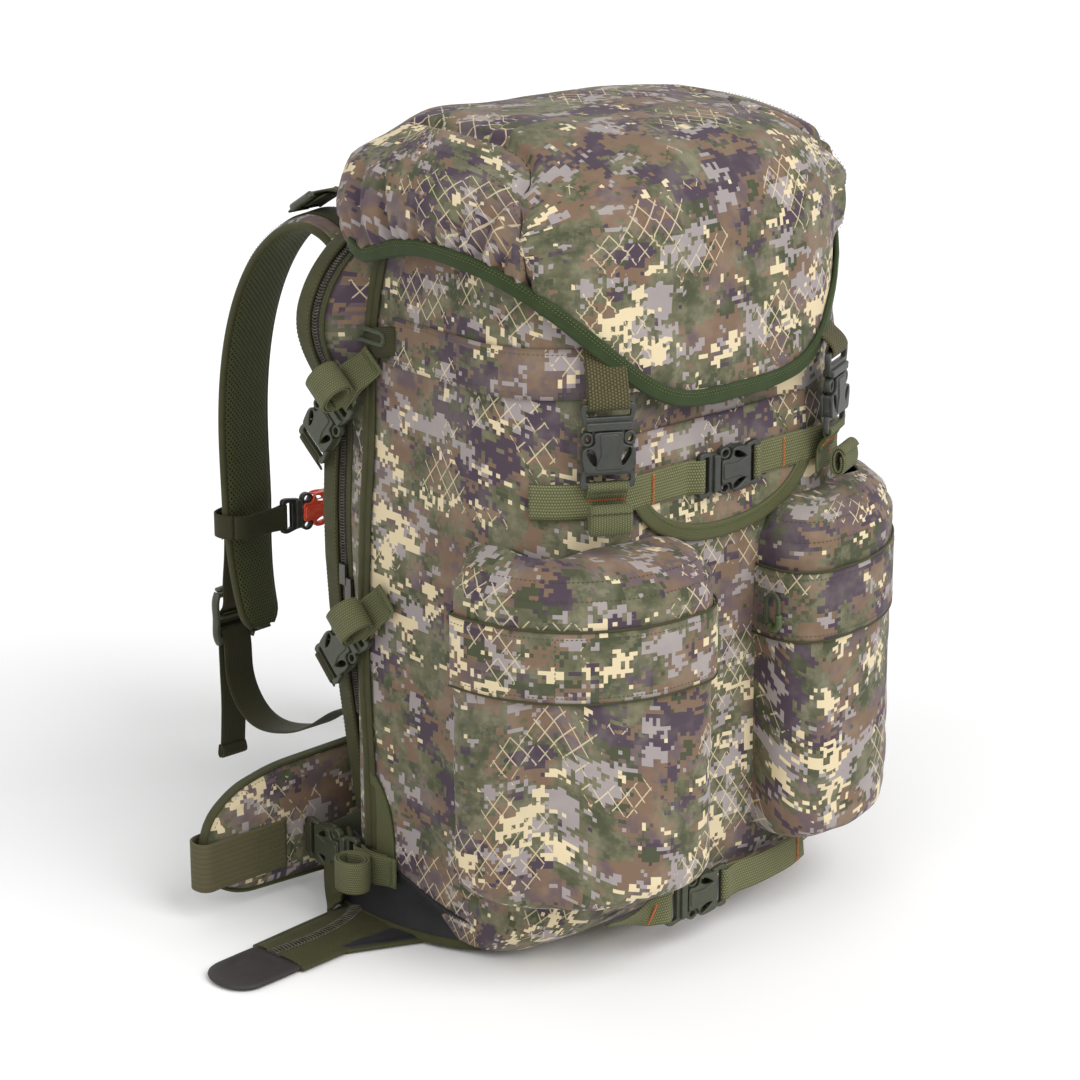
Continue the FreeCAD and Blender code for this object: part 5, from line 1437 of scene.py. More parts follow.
def make_cross_strap():
    """Strap across the front in two halves, its left anchor patch, and their bar tacks."""
    z = cross_z
    y = front_at(z) - 3.0 - 0.8 - 3.0
    width = strap_widths["front"]
    strap_out, under_out, strap_face = 3.8, 2.0, 4.9     # out from the bag's cloth
    left = ring_at(z, strap_out, -160.0, -46.0)
    path = np.concatenate([left, [(-38.0, y + 3.6, z), (-31.5, y - 1.0, z), (-28.0, y - 3.2, z),
                                  (-25.0, y - 1.0, z)]])
    outward = np.concatenate([unit((left - (0, -20, z)) * (1, 1, 0)), np.broadcast_to((0, -1, 0), (4, 3))])
    mesh = Mesh()
    path_left = even(path, 2.5)
    face = resample(lengths(path_left), lengths(path), outward)
    mesh.sweep(path_left, face, tape(width, web), shift=(12.5, 0))
    second = np.concatenate([ring_at(z, under_out, -72.0, -46.0),
                             [(-40.0, y + 4.4, z), (-30.0, y + 3.4, z), (-25.5, y + 0.8, z)]])
    webbing(mesh, second, (0, -1, 0), width, 5)
    tack = ring_at(z, strap_face, -75.0, -66.0)[0]
    bartack(mesh, tack + (0, -0.1, 0), (1, 0, 0), (0, -1, 0), 22.0, 1)
    for rise in (11.0, -11.0):
        line = np.array([(x, front_at(z) - strap_face, z + rise) for x in np.linspace(-62.0, -48.0, 8)])
        mesh.stitches(line, (0, -1, 0), 2)
    piece(mesh, "cross_strap_left", [CROSS_WEBBING, ORANGE_THREAD, GREEN_THREAD], None, ["cross_straps"],
          ("pack", "cross_plug", (-60, y, z), (-29, y, z)))
    mesh = Mesh()
    right = ring_at(z, strap_out, 46.0, 128.0)
    path = np.concatenate([[(26.0, y - 0.6, z), (29.0, y - 3.0, z), (32.0, y - 1.0, z), (38.0, y + 3.4, z)], right])
    mesh.sweep(even(path, 2.5), (0, -1, 0), tape(width, web), shift=(12.5, 60))
    second = np.concatenate([[(27.0, y + 0.6, z), (31.0, y + 2.8, z), (40.0, y + 4.2, z)],
                             ring_at(z, under_out, 46.0, 84.0)])
    webbing(mesh, second, (0, -1, 0), width, 6)
    for x in (60.0, 112.0):
        bartack(mesh, ring_at(z, strap_face, x, x + 10.0)[0], (1, 0, 0), (0, -1, 0), 22.0, 1)
    piece(mesh, "cross_strap_right", [CROSS_WEBBING, ORANGE_THREAD], "pack")
    mesh = Mesh()
    patch = bag_outline(np.linspace(z - 14.0, z + 12.0, 8), 2.0)
    row = patch[4]
    columns = np.flatnonzero((row[:, 0] > -160) & (row[:, 0] < -96) & (row[:, 1] < 0))
    sheet = patch[:, columns[0]:columns[-1] + 1]
    mesh.shell(sheet, cloth_of(sheet), 1.6, inside=0)
    piece(mesh, "cross_strap_anchor", [FLAT_WEBBING], "pack")


def make_bottom_strap():
    """Strap low on the front, its left end twisted under the pocket."""
    z, y = bottom_z, bag_front - buckle_out
    width = strap_widths["front"]
    mesh = Mesh()
    path = [(-104.0, y + 16.0, z - 7.0), (-96.0, y + 11.0, z - 6.0), (-82.0, y + 3.5, z - 2.5),
            (-68.0, y - 1.0, z - 0.4), (-59.0, y - 3.0, z), (-54.5, y - 0.8, z)]
    turn = [(0, -0.55, -0.83), (0, -0.62, -0.78), (0, -0.8, -0.6), (0, -0.97, -0.2), (0, -1, 0), (0, -1, 0)]
    webbing(mesh, path, turn, width, 7)
    bartack(mesh, (-74.0, y - 0.9, z - 1.8), (1, 0, 0), (0, -0.91, -0.41), 21.0, 1)
    piece(mesh, "bottom_strap_left", [CROSS_WEBBING, ORANGE_THREAD], None, ["bottom_straps"],
          ("pack", "bottom_plug", (-84, y, z), (-57, y, z)))
    mesh = Mesh()
    path = [(-2.5, y - 0.8, z), (0.5, y - 3.0, z), (6.0, y - 1.6, z), (30.0, y + 0.6, z), (60.0, y + 3.0, z),
            (84.0, y + 6.0, z + 1.5), (98.0, y + 10.0, z + 3.0)]
    webbing(mesh, path, (0, -1, 0), width, 8)
    path = [(-1.5, y + 0.8, z), (2.5, y + 2.8, z), (20.0, y + 3.2, z), (44.0, y + 4.6, z)]
    webbing(mesh, path, (0, -1, 0), width, 9)
    bartack(mesh, (88.0, y + 5.4, z + 2.0), (1, 0, 0), (0, -1, 0), 22.0, 1)
    piece(mesh, "bottom_strap_right", [CROSS_WEBBING, ORANGE_THREAD], "pack")


# side straps: name, depth and height of the buckle's mouth, and slope in degrees
SIDE_LEVELS = (("top", 114.0, 400.0, 52.0), ("middle", 99.0, 226.0, 46.0), ("low", 112.0, 47.0, 0.0))


def make_side_straps():
    """Compression straps on both sides: a stub from the piped seam, a rolled end and a short tail."""
    width = strap_widths["side"]
    roll_x, lift = -35.0, 3.0
    for level, mouth_y, mouth_z, slope in SIDE_LEVELS:
        for name, side in SIDES:
            mouth = side_mouth(side, mouth_y, mouth_z, slope)
            place, along, out = setting(*mouth)
            which = "%s_%s" % (level, name)
            root = side_at(mouth_z + roll_x * mouth[1][2]) + 4.4 + web - abs(mouth[0][0])
            half_way = (root + lift) / 2
            rise = place([(roll_x - 24, 0, root - 1.0), (roll_x - 19, 0, root), (roll_x - 12.5, 0, half_way - 1.0),
                          (roll_x - 6, 0, lift - 1.0), (roll_x + 1, 0, lift - 0.6), (-26.0, 0, lift - 0.4),
                          (-18.5, 0, lift + 0.1), (-15.0, 0, 1.0)])
            mesh = Mesh()
            webbing(mesh, rise, out, width, 10)
            under = place([(roll_x - 14, 0, half_way - 4.0), (roll_x, 0, 0.0), (-24, 0, -1.6), (-18, 0, -2.8),
                           (-15.0, 0, -0.8)])
            webbing(mesh, under, out, width, 11)
            bartack(mesh, place([(roll_x - 20, 0, root + 0.9)])[0], along, out, 22.0, 1)
            stands = ["side_straps"] if which == "top_left" else ()
            piece(mesh, "side_strap_" + which, [ROLL_WEBBING, GREEN_THREAD], None, stands,
                  ("pack", "side_plug_" + which, place([(roll_x - 14, 0, 0)])[0], place([(-20, 0, 0)])[0]))
            mesh = Mesh()
            coil(mesh, place, (roll_x, lift + 15.5), 15.6, 13.2, width, 2.25, -1.9)
            piece(mesh, "side_roll_" + which, [ROLL_WEBBING], "side_plug_" + which)
            mesh = Mesh()
            tail = place([(38.0, 0, 1.0), (41.5, 0, 2.6), (46.0, 0, 0.0), (52.0, 0, -5.5), (57.0, 0, -9.0)])
            webbing(mesh, tail, out, width, 12)
            piece(mesh, "side_tail_" + which, [DARK_WEBBING], "pack")


def make_pulls():
    """Sewn cord loops on the zips, each with a moulded sleeve."""
    def loop(length, width):
        half = width / 2
        low = -length + half
        turn = np.linspace(0, math.pi, 14)
        down = [(-half, z) for z in np.linspace(-half, low, 8)[:-1]]
        foot = [(-half * math.cos(a), low - half * math.sin(a)) for a in turn]
        rise = [(half, z) for z in np.linspace(low, -half, 8)[1:]]
        head = [(half * math.cos(a), -half + half * math.sin(a)) for a in turn[1:-1]]
        return np.array([(0.0, y, z) for y, z in down + foot + rise + head])

    for name, side in SIDES:
        line = loop(27.0, 12.0)
        line[:, 0] += 0.5 * np.sin(line[:, 2] / 6.0)
        line = line + (side * 31.99, -132.0, 271.0)
        mesh = Mesh()
        mesh.sweep(line, (1, 0, 0), ring(1.7, 10), closed=True)
        sleeve = line[4:18]
        mesh.sweep(even(sleeve, 2.0), (1, 0, 0), ring(2.9, 12), 1)
        piece(mesh, "pocket_loop_" + name, [CORD, SLEEVE], "pocket_cord_" + name,
              ["pocket_pull_" + name])
    line = loop(46.0, 9.0)
    line = np.stack([line[:, 0] - 0.5, -line[:, 2], line[:, 1]], -1) + (-side_at(462.0) - 6.0, 67.0, 462.0)
    mesh = Mesh()
    mesh.sweep(line, (-1, 0, 0), ring(1.6, 10), closed=True)
    sleeve = line[5:17]
    mesh.sweep(even(sleeve, 2.0), (-1, 0, 0), ring(2.6, 12), 1)
    piece(mesh, "top_cover_loop", [CORD, SLEEVE], "band_cord", ["band_pull"])


# ==== padded and flat outlines ==============================================================================

def rounded_outline(points, radius, step=3.0):
    """A polygon, anticlockwise or not, with rounded corners."""
    points = np.asarray(points, float)
    line = []
    for i in range(len(points)):
        a, b, c = points[i - 1], points[i], points[(i + 1) % len(points)]
        into, away = unit((a - b)[None])[0], unit((c - b)[None])[0]
        reach = min(radius, np.linalg.norm(a - b) * 0.45, np.linalg.norm(c - b) * 0.45)
        start, end = b + into * reach, b + away * reach
        for t in np.linspace(0, 1, 7):
            line.append(start * (1 - t) ** 2 + b * 2 * t * (1 - t) + end * t ** 2)
    line = np.array(line + line[:1])
    return even(line, step)[:-1]


def pillow(mesh, line, low, high, centre=None, power=6.0, rings=14, front=0, back=0, seed=0, wrinkle=0.6,
           channels=(), flat_front=False, shift=(0.0, 0.0)):
    """A crowned pad over an outline in x and z, from y = low to high; channels are sewn lines on it."""
    line = np.asarray(line, float)
    area = np.roll(line[:, 0], -1) @ line[:, 1] - np.roll(line[:, 1], -1) @ line[:, 0]
    if area < 0:
        line = line[::-1]
    middle = line.mean(0) if centre is None else np.asarray(centre, float)
    mid_y, half = (low + high) / 2, (high - low) / 2
    share = np.sin(np.linspace(0, math.pi / 2, rings + 1))[1:]
    for way, mat, flat in ((-1, front, flat_front), (1, back, False)):
        t = share[:, None]
        plan = middle + (line - middle)[None] * t[..., None]
        thick = (1 - t ** power) ** 0.5 * half
        if flat:
            thick = np.where(t < 1, half, 0.0) * (1 - t ** 40) ** 0.5
        y = mid_y + way * np.broadcast_to(thick, plan.shape[:2])
        grid = np.stack([plan[..., 0], y, plan[..., 1]], -1)
        inside = clamp((1 - t) / 0.15)
        grid[..., 1] += way * inside * wrinkle * noise(grid, 26.0, 80 + seed)
        if channels:
            lines = [((a[0], 0, a[1]), (b[0], 0, b[1]), w, -d) for a, b, w, d in channels]
            grid[..., 1] += way * inside * folds(grid * (1, 0, 1), lines)
        coords = np.concatenate([grid, grid[:, :1]], 1)[..., [0, 2]] + shift
        faces, corners = quads(grid.shape[:2], coords, True)
        if way < 0:
            faces, corners = faces[:, ::-1], corners[:, ::-1]
        start = mesh.count
        mesh.add(grid, faces, corners, mat)
        number = mesh.count - start
        hub = np.array([[middle[0], grid[0, :, 1].mean(), middle[1]]])
        mesh.points.append(hub)
        mesh.count += 1
        a = np.arange(len(line))
        b = (a + 1) % len(line)
        tri = np.stack([a, b, np.full(len(a), number)], -1)
        if way > 0:
            tri = tri[:, ::-1]
        known = np.concatenate([grid[0][:, [0, 2]], middle[None]])
        mesh.more(tri, known[np.where(tri == number, -1, tri)] + shift, start, mat)


# ==== harness panel =========================================================================================

def panel_outline(inset=0.0):
    """The panel's edge from its foot on the right, over the top, to its foot on the left, in x and z."""
    ear, top = 196.0 - inset, 552.0 - inset
    half = [(138.0 - inset, inset), (158.0 - inset, 130.0), (171.0 - inset, 240.0), (173.0 - inset, 350.0),
            (175.0 - inset, 410.0), (ear - 4.0, 446.0), (ear, 462.0), (ear - 14.0, 502.0), (ear - 60.0, top - 17.0),
            (ear - 110.0, top - 3.0), (0.0, top)]
    line = smooth([(x, z, 0.0) for x, z in half], 5.0)[:, :2]
    left = line[::-1] * (-1, 1)
    return np.concatenate([line, left[1:]])


def make_panel():
    """Padded harness panel with its bound edge, the pads sewn to it, and the arch zip."""
    line = panel_outline()
    foot = np.stack([np.linspace(-138, 138, 40)[1:-1], np.full(38, 0.6)], -1)
    mesh = Mesh()
    inner = np.concatenate([panel_outline(2.0), foot + (0, 1.4)])
    pillow(mesh, inner, 122.4, 138.6, (0, 290), 30.0, 16, front=0, back=1, wrinkle=0.5)
    piece(mesh, "panel_cloth", [OLIVE_CLOTH, MESH_CLOTH], "pack", ["back_panel"])
    edge = Mesh()
    path = np.stack([line[:, 0], np.full(len(line), 131.0), line[:, 1]], -1)
    out = outline_normals(line)
    ripple = 0.5 * noise(path, 14.0, 90)
    edge.sweep(path - out * (0.6 - ripple[:, None]), out, tape(15.0, 3.0, 7))
    for y in (124.6, 137.2):
        rim = path.copy()
        rim[:, 1] = y
        edge.stitches(rim + out * 0.9, out, 1)
    rear = path.copy()
    rear[:, 1] = 138.6
    edge.sweep(rear - out * 6.0, (0, 1, 0), tape(11.0, 1.6, 5))
    edge.stitches(rear - out * 9.4 + (0, 0.9, 0), (0, 1, 0), 1)
    piece(edge, "panel_edge_tape", [DARK_BINDING, GREEN_THREAD], "pack")
    pads = Mesh()
    seams = Mesh()
    for x0, x1, z0, z1 in ((-128.0, -34.0, 150.0, 430.0), (34.0, 128.0, 150.0, 430.0), (-126.0, 126.0, 14.0, 138.0),
                           (-60.0, 60.0, 442.0, 498.0)):
        shape = rounded_outline([(x0, z0), (x1, z0), (x1, z1), (x0, z1)], 26.0, 4.0)
        if z1 - z0 > 200:
            channels = [((x0 - 10, v), (x1 + 10, v), 4.0, 5.0) for v in (z0 + 92, z0 + 184)]
        elif x1 - x0 > 200:
            channels = [((v, z0 - 10), (v, z1 + 10), 4.0, 4.5) for v in (-46.0, 46.0)]
        else:
            channels = []
        pillow(pads, shape, 138.4, 158.0, power=5.0, rings=18, seed=int(abs(x0)), channels=channels,
               flat_front=True)
        around = np.concatenate([shape, shape[:1]])
        tube = np.stack([around[:, 0], np.full(len(around), 140.2), around[:, 1]], -1)
        seams.sweep(tube[:-1], (0, 1, 0), ring(1.9, 8), closed=True)
        for a, b, _, _ in channels:
            depth = 154.4 if a[0] == b[0] else 154.0
            row = [(a[0] + (b[0] - a[0]) * s, depth, a[1] + (b[1] - a[1]) * s) for s in np.linspace(0.06, 0.94, 40)]
            seams.stitches(np.array(row)[4:-4], (0, 1, 0), 1)
    piece(seams, "back_pad_piping", [DARK_BINDING, GREEN_THREAD], "pack")
    thing = piece(pads, "back_pads_mesh", [MESH_CLOTH], "pack", ["back_pads"])
    zipper = Mesh()
    line = panel_outline(3.0)
    line = line[line[:, 1] > 150.0]
    path = np.stack([line[:, 0], np.full(len(line), 120.0), line[:, 1]], -1)
    out = outline_normals(line)
    zipper.sweep(path - out * 0.8, out, tape(19.0, 1.2, 5), 0)
    for way in (-1, 1):
        zipper.sweep(path - out * 0.2 + (0, way * 7.6, 0), out, tape(5.0, 2.0, 4), 2)
        zipper.stitches(path + out * 0.9 + (0, way * 6.4, 0), out, 3)
    teeth(zipper, path + out * 0.1, out, 1)
    piece(zipper, "arch_zip_coil", [ZIP_CLOTH, COIL, DARK_BINDING, GREEN_THREAD], "pack",
          ["arch_zipper"])


def teeth(mesh, path, out, mat, pitch=2.3, wide=2.9):
    """Two interlocked coils of a zip along a line."""
    path = np.asarray(path, float)
    total = lengths(path)
    at = np.arange(1.0, total[-1] - 1.0, pitch / 8)
    middle = resample(at, total, path)
    normal = unit(resample(at, total, np.broadcast_to(out, path.shape)))
    along = directions(middle)
    across = np.cross(along, normal)
    for way in (-1, 1):
        angle = at / pitch * 2 * math.pi
        line = middle + across * (way * (wide * 0.42 + wide * 0.62 * np.cos(angle)))[:, None]
        line = line + normal * (0.55 + 0.75 * np.sin(angle))[:, None]
        mesh.sweep(line, normal, ring(0.46, 4), mat)


# ==== shoulder harness ======================================================================================

shoulder_path = [(157.0, 478.0), (168.0, 504.0), (196.0, 518.0), (234.0, 509.0), (268.0, 481.0), (296.0, 436.0),
                 (311.0, 388.0), (317.0, 335.0), (316.0, 280.0), (314.0, 230.0), (308.0, 190.0), (299.0, 162.0)]


shoulder_x = 115.0


def make_shoulders():
    """Shoulder pads: crowned cushions with mesh inside, bound edges and webbing down their middle."""
    for name, side in SIDES:
        middle = smooth([(side * shoulder_x, y, z) for y, z in shoulder_path], 4.0)
        across = unit(np.array([[-side * 58.0, 17.0, 0.0]]))
        tangent = directions(middle)
        out = unit(np.cross(across, tangent)) * -side
        z = middle[:, 2]
        run = lengths(middle)
        to_end = run[-1] - run
        low = np.arange(len(middle)) > np.argmax(z)
        width = np.where(low & (z < 262), 0.52 + 0.48 * clamp((z - 100) / 162), 1.0)
        width *= 1.0 - 0.10 * clamp(1 - run / 60)
        width = width * np.maximum(np.sqrt(clamp(1 - (1 - clamp(to_end / 17.0)) ** 2)), 0.12)
        thick = 0.25 + 0.75 * np.minimum(clamp(to_end / 16.0) ** 0.5, clamp(run / 10.0) ** 0.5)
        sides = 44
        turn = np.arange(sides) * 2 * math.pi / sides
        wide = 28.0 * np.sign(np.cos(turn)) * abs(np.cos(turn)) ** 0.6
        deep = 6.2 * np.sign(np.sin(turn)) * abs(np.sin(turn)) ** 0.62
        section = np.stack([wide, deep], -1)
        mats = np.where(np.roll(deep, -1) + deep > 0, 0, 1)
        soft = 1.0 + 0.05 * noise(middle, 30.0, 95)
        mesh = Mesh()
        mesh.sweep(middle, out, section, scale=np.stack([width, thick * soft], -1), mats=mats,
                   shift=(700.0 + side * 90, 0))
        piece(mesh, "shoulder_cushion_" + name, [CAMO, MESH_CLOTH], "harness", ["shoulder_pad_" + name])
        trim = Mesh()
        wayside = unit(np.cross(tangent, out))
        for way in (-1, 1):
            rim = middle + wayside * (width * 28.2 * way)[:, None]
            trim.sweep(rim[1:-1], out[1:-1], ring(2.6, 10, 1.25))
            row = rim - wayside * 3.4 * way + out * (5.0 * thick * soft)[:, None]
            trim.stitches(row[2:-2], out[2:-2], 1)
        face = middle + out * (6.6 * thick * soft)[:, None]
        foot = (z < 300) & low
        for part in (foot, ((run < 150) | (low & (z > 236))) & ~foot):
            trim.sweep(face[part], out[part], tape(25.0, web), 2, shift=(12, 0))
        level = int(np.argmin(abs(z - chest_mouth[2]) + 1000 * ~low))
        for turn_z in (-12.0, 12.0):
            row = middle[level] + wayside[level] * np.linspace(-27, 27, 20)[:, None] + out[level] * 6.9
            trim.stitches(row + (0, 0, turn_z), out[level], 1)
        piece(trim, "shoulder_trim_" + name, [DARK_BINDING, GREEN_THREAD, DARK_WEBBING], "harness")
        make_adjuster(name, side)
        make_lifter(name, side)


def make_adjuster(name, side):
    """Ladder adjuster below a shoulder pad, the webbing through it and its hanging end."""
    end_y, end_z = shoulder_path[-1]
    y = end_y + 6.0 + 8.5 + 4.5 + 20.0
    high = end_z + 24.0
    low = high - 44.0
    x, hang_x = side * shoulder_x, side * shoulder_x + side * 3.0
    inner = y - 4.5 - web
    mesh = Mesh()
    upper = [(x, inner - 9.0, high + 92.0), (x, inner - 4.0, high + 62.0), (x, inner - 1.2, high + 28.0),
             (x, inner + 1.6, high + 2.0), (x, y - 2.0, high - 14.0), (x, y + 2.6, high - 20.0),
             (x, y - 1.0, high - 26.0)]
    webbing(mesh, upper, (0, 1, 0), 28.0, 14)
    piece(mesh, "adjuster_web_" + name, [DARK_WEBBING], "harness",
          ["strap_adjusters"] if side < 0 else ())
    mesh = Mesh()
    hang = [(x, y - 3.0, low + 26.0), (x, y + 4.6, low + 22.0), (x, y + 6.4, low + 10.0), (x, y + 5.4, low - 24.0),
            (x + side * 1.5, y + 3.0, low - 62.0), (hang_x, y + 3.6, low - 96.0), (hang_x, y + 4.0, low - 101.0)]
    webbing(mesh, hang, (0, 1, 0), 25.0, 15)
    fold = [(hang_x, y + 2.4, low - 92.0), (hang_x, y + 1.2, low - 101.0), (hang_x, y + 5.6, low - 102.5),
            (hang_x, y + 6.0, low - 92.0)]
    webbing(mesh, fold, (0, 1, 0), 25.0, 16)
    piece(mesh, "adjuster_tail_" + name, [DARK_WEBBING], "harness")
    mesh = Mesh()
    for at, radius in ((-20.0, 2.4), (0.0, 2.2), (20.0, 2.4)):
        rod = np.array([(x + v, y, (high + low) / 2 + at) for v in np.linspace(-15.5, 15.5, 9)])
        mesh.sweep(rod, (0, 1, 0), ring(radius, 10, 1.25))
    for way in (-1, 1):
        cheek = [(x + way * 15.6, y, low), (x + way * 17.4, y, low + 4), (x + way * 17.9, y, low + 22),
                 (x + way * 17.4, y, high - 4), (x + way * 15.6, y, high)]
        mesh.sweep(smooth(cheek, 2.0), (0, 1, 0), ring(2.7, 12, 1.5))
    lip = np.array([(x + v, y + 3.4, high + 2.0 - 0.004 * v * v) for v in np.linspace(-14, 14, 9)])
    mesh.sweep(lip, (0, 1, 0), ring(2.0, 8, 1.6))
    piece(mesh, "adjuster_frame_" + name, [GREEN_PLASTIC], "harness")
    mesh = Mesh()
    loop = [(x, y + 1.0, low + 13.0), (x, y - 2.6, low + 3.0), (x, y - 6.0, low - 30.0), (x, y - 30.0, low - 58.0),
            (x, y - 74.0, low - 57.0), (x, y - 118.0, low - 37.0), (x, pad_rear + 9.0, 127.0),
            (x, pad_rear + 0.6, 118.0)]
    line = smooth(loop, 3.0)
    out = unit(np.cross((1, 0, 0), directions(line)))
    mesh.sweep(line, out, tape(28.0, web), shift=(14, 0))
    piece(mesh, "shoulder_web_" + name, [DARK_WEBBING], None, ["shoulder_webs"] if side < 0 else (),
          ("pack", "harness", (x, 168.0, 122.0), (x, 318.0, 120.0)))


def make_lifter(name, side):
    """Load lifter from the strap's crest to the panel, with its ladder lock."""
    x = side * shoulder_x
    top = 510.0
    crest_y, crest_z = shoulder_path[3]
    path = smooth([(x, 139.4, top), (x, 148.0, top + 22), (x, 172.0, top + 35), (x, crest_y - 28, crest_z + 31),
                   (x, crest_y + 4, crest_z + 11)], 3.0)
    out = unit(np.cross((1, 0, 0), directions(path))) * -1
    mesh = Mesh()
    mesh.sweep(path, out, tape(20.0, web), shift=(10, 0))
    piece(mesh, "load_lifter_" + name, [DARK_WEBBING], None, ["load_lifters"] if side < 0 else (),
          ("pack", "harness", (x, 146, 520), (x, 230, 530)))
    lock = Mesh()
    at = int(len(path) * 0.80)
    centre, along, normal = path[at], directions(path)[at], out[at]
    for step in (-11.0, -3.0, 11.0):
        rod = centre + along * step + np.array([[1.0, 0, 0]]) * np.linspace(-12, 12, 7)[:, None]
        rod = rod + normal * (1.4 if step < 0 else 2.2)
        lock.sweep(rod, normal, ring(2.6, 10, 1.1))
    for way in (-1, 1):
        middle = centre + np.array([1.0, 0, 0]) * way * 12.6 + normal * 1.9
        cheek = np.array([middle + along * step for step in np.linspace(-13, 13, 9)])
        lock.sweep(cheek, normal, ring(3.0, 12, 1.2))
    end = [centre + along * 10 + normal * 1.0, centre + along * 3 + normal * 4.6,
           centre - along * 10 + normal * 6.0, centre - along * 26 + normal * 7.0]
    lock.sweep(smooth(end, 3.0), normal, tape(20.0, web), 1, shift=(10, 0))
    piece(lock, "lifter_lock_" + name, [GREEN_PLASTIC, DARK_WEBBING], "harness")


def make_sternum():
    """Chest strap in two halves, each wrapped round its shoulder pad."""
    mouth, y, z = chest_mouth
    out = (0, -1, 0)
    width = strap_widths["chest"]

    def wrap(mesh, side):
        back = [(side * x, y + depth, z) for x, depth in ((141.0, 3.0), (146.5, 12.0), (145.5, 22.0), (136.0, 28.0),
                                                          (shoulder_x, 30.0))]
        line = smooth(back, 2.5)
        mesh.sweep(line, unit(line - (side * shoulder_x, y + 12.0, z)), tape(width, web), shift=(10, 40))

    mesh = Mesh()
    path = [(-141.0, y + 2.0, z), (-136.0, y - 1.6, z), (-120.0, y - 2.6, z), (-100.0, y - 2.8, z),
            (mouth - 18.5, y - 3.1, z), (mouth - 15.0, y - 1.0, z)]
    webbing(mesh, path, out, width, 17)
    wrap(mesh, -1)
    second = [(-112.0, y - 0.8, z), (-100.0, y + 0.2, z), (mouth - 18.5, y + 1.6, z), (mouth - 15.0, y - 0.4, z)]
    webbing(mesh, second, out, width, 18)
    piece(mesh, "chest_web_left", [DARK_WEBBING], None, ["sternum_straps"],
          ("harness", "sternum_plug", (-104, y, z), (mouth - 17, y, z)))
    mesh = Mesh()
    path = [(mouth + 38.0, y - 1.0, z), (mouth + 41.0, y - 3.1, z), (0.0, y - 2.0, z + 0.5),
            (60.0, y - 2.4, z + 0.2), (120.0, y - 2.6, z), (136.0, y - 1.8, z), (141.0, y + 2.0, z)]
    webbing(mesh, path, out, width, 19)
    wrap(mesh, 1)
    piece(mesh, "chest_web_right", [DARK_WEBBING], "harness")


def make_haul_loop():
    """Haul loop that hangs back from the panel's top, with a rounder grip in its middle."""
    half = 62.0
    tilt = math.radians(42.0)
    path = smooth([(half * a, b, 0) for a, b in ((-1, 0.0), (-0.96, -16.0), (-0.55, -27.0), (0, -30.0),
                                                 (0.55, -27.0), (0.96, -16.0), (1, 0.0))], 3.0)
    line = np.stack([path[:, 0], -path[:, 1] * math.sin(tilt) + 145.0, path[:, 1] * math.cos(tilt) + 534.0], -1)
    face = outline_normals(path)
    out = np.stack([face[:, 0], -math.sin(tilt) * face[:, 2], math.cos(tilt) * face[:, 2]], -1)
    mesh = Mesh()
    mesh.sweep(line, out, tape(10.0, 2.8, 6), shift=(5, 0))
    grip = slice(len(line) // 2 - 11, len(line) // 2 + 12)
    mesh.sweep(line[grip], out[grip], ring(5.2, 12, 0.55), 1)
    piece(mesh, "grab_loop_webbing", [DARK_WEBBING, OLIVE_CLOTH], "grab_loop", ["haul_loop"])


# ==== hip belt and tongues ==================================================================================

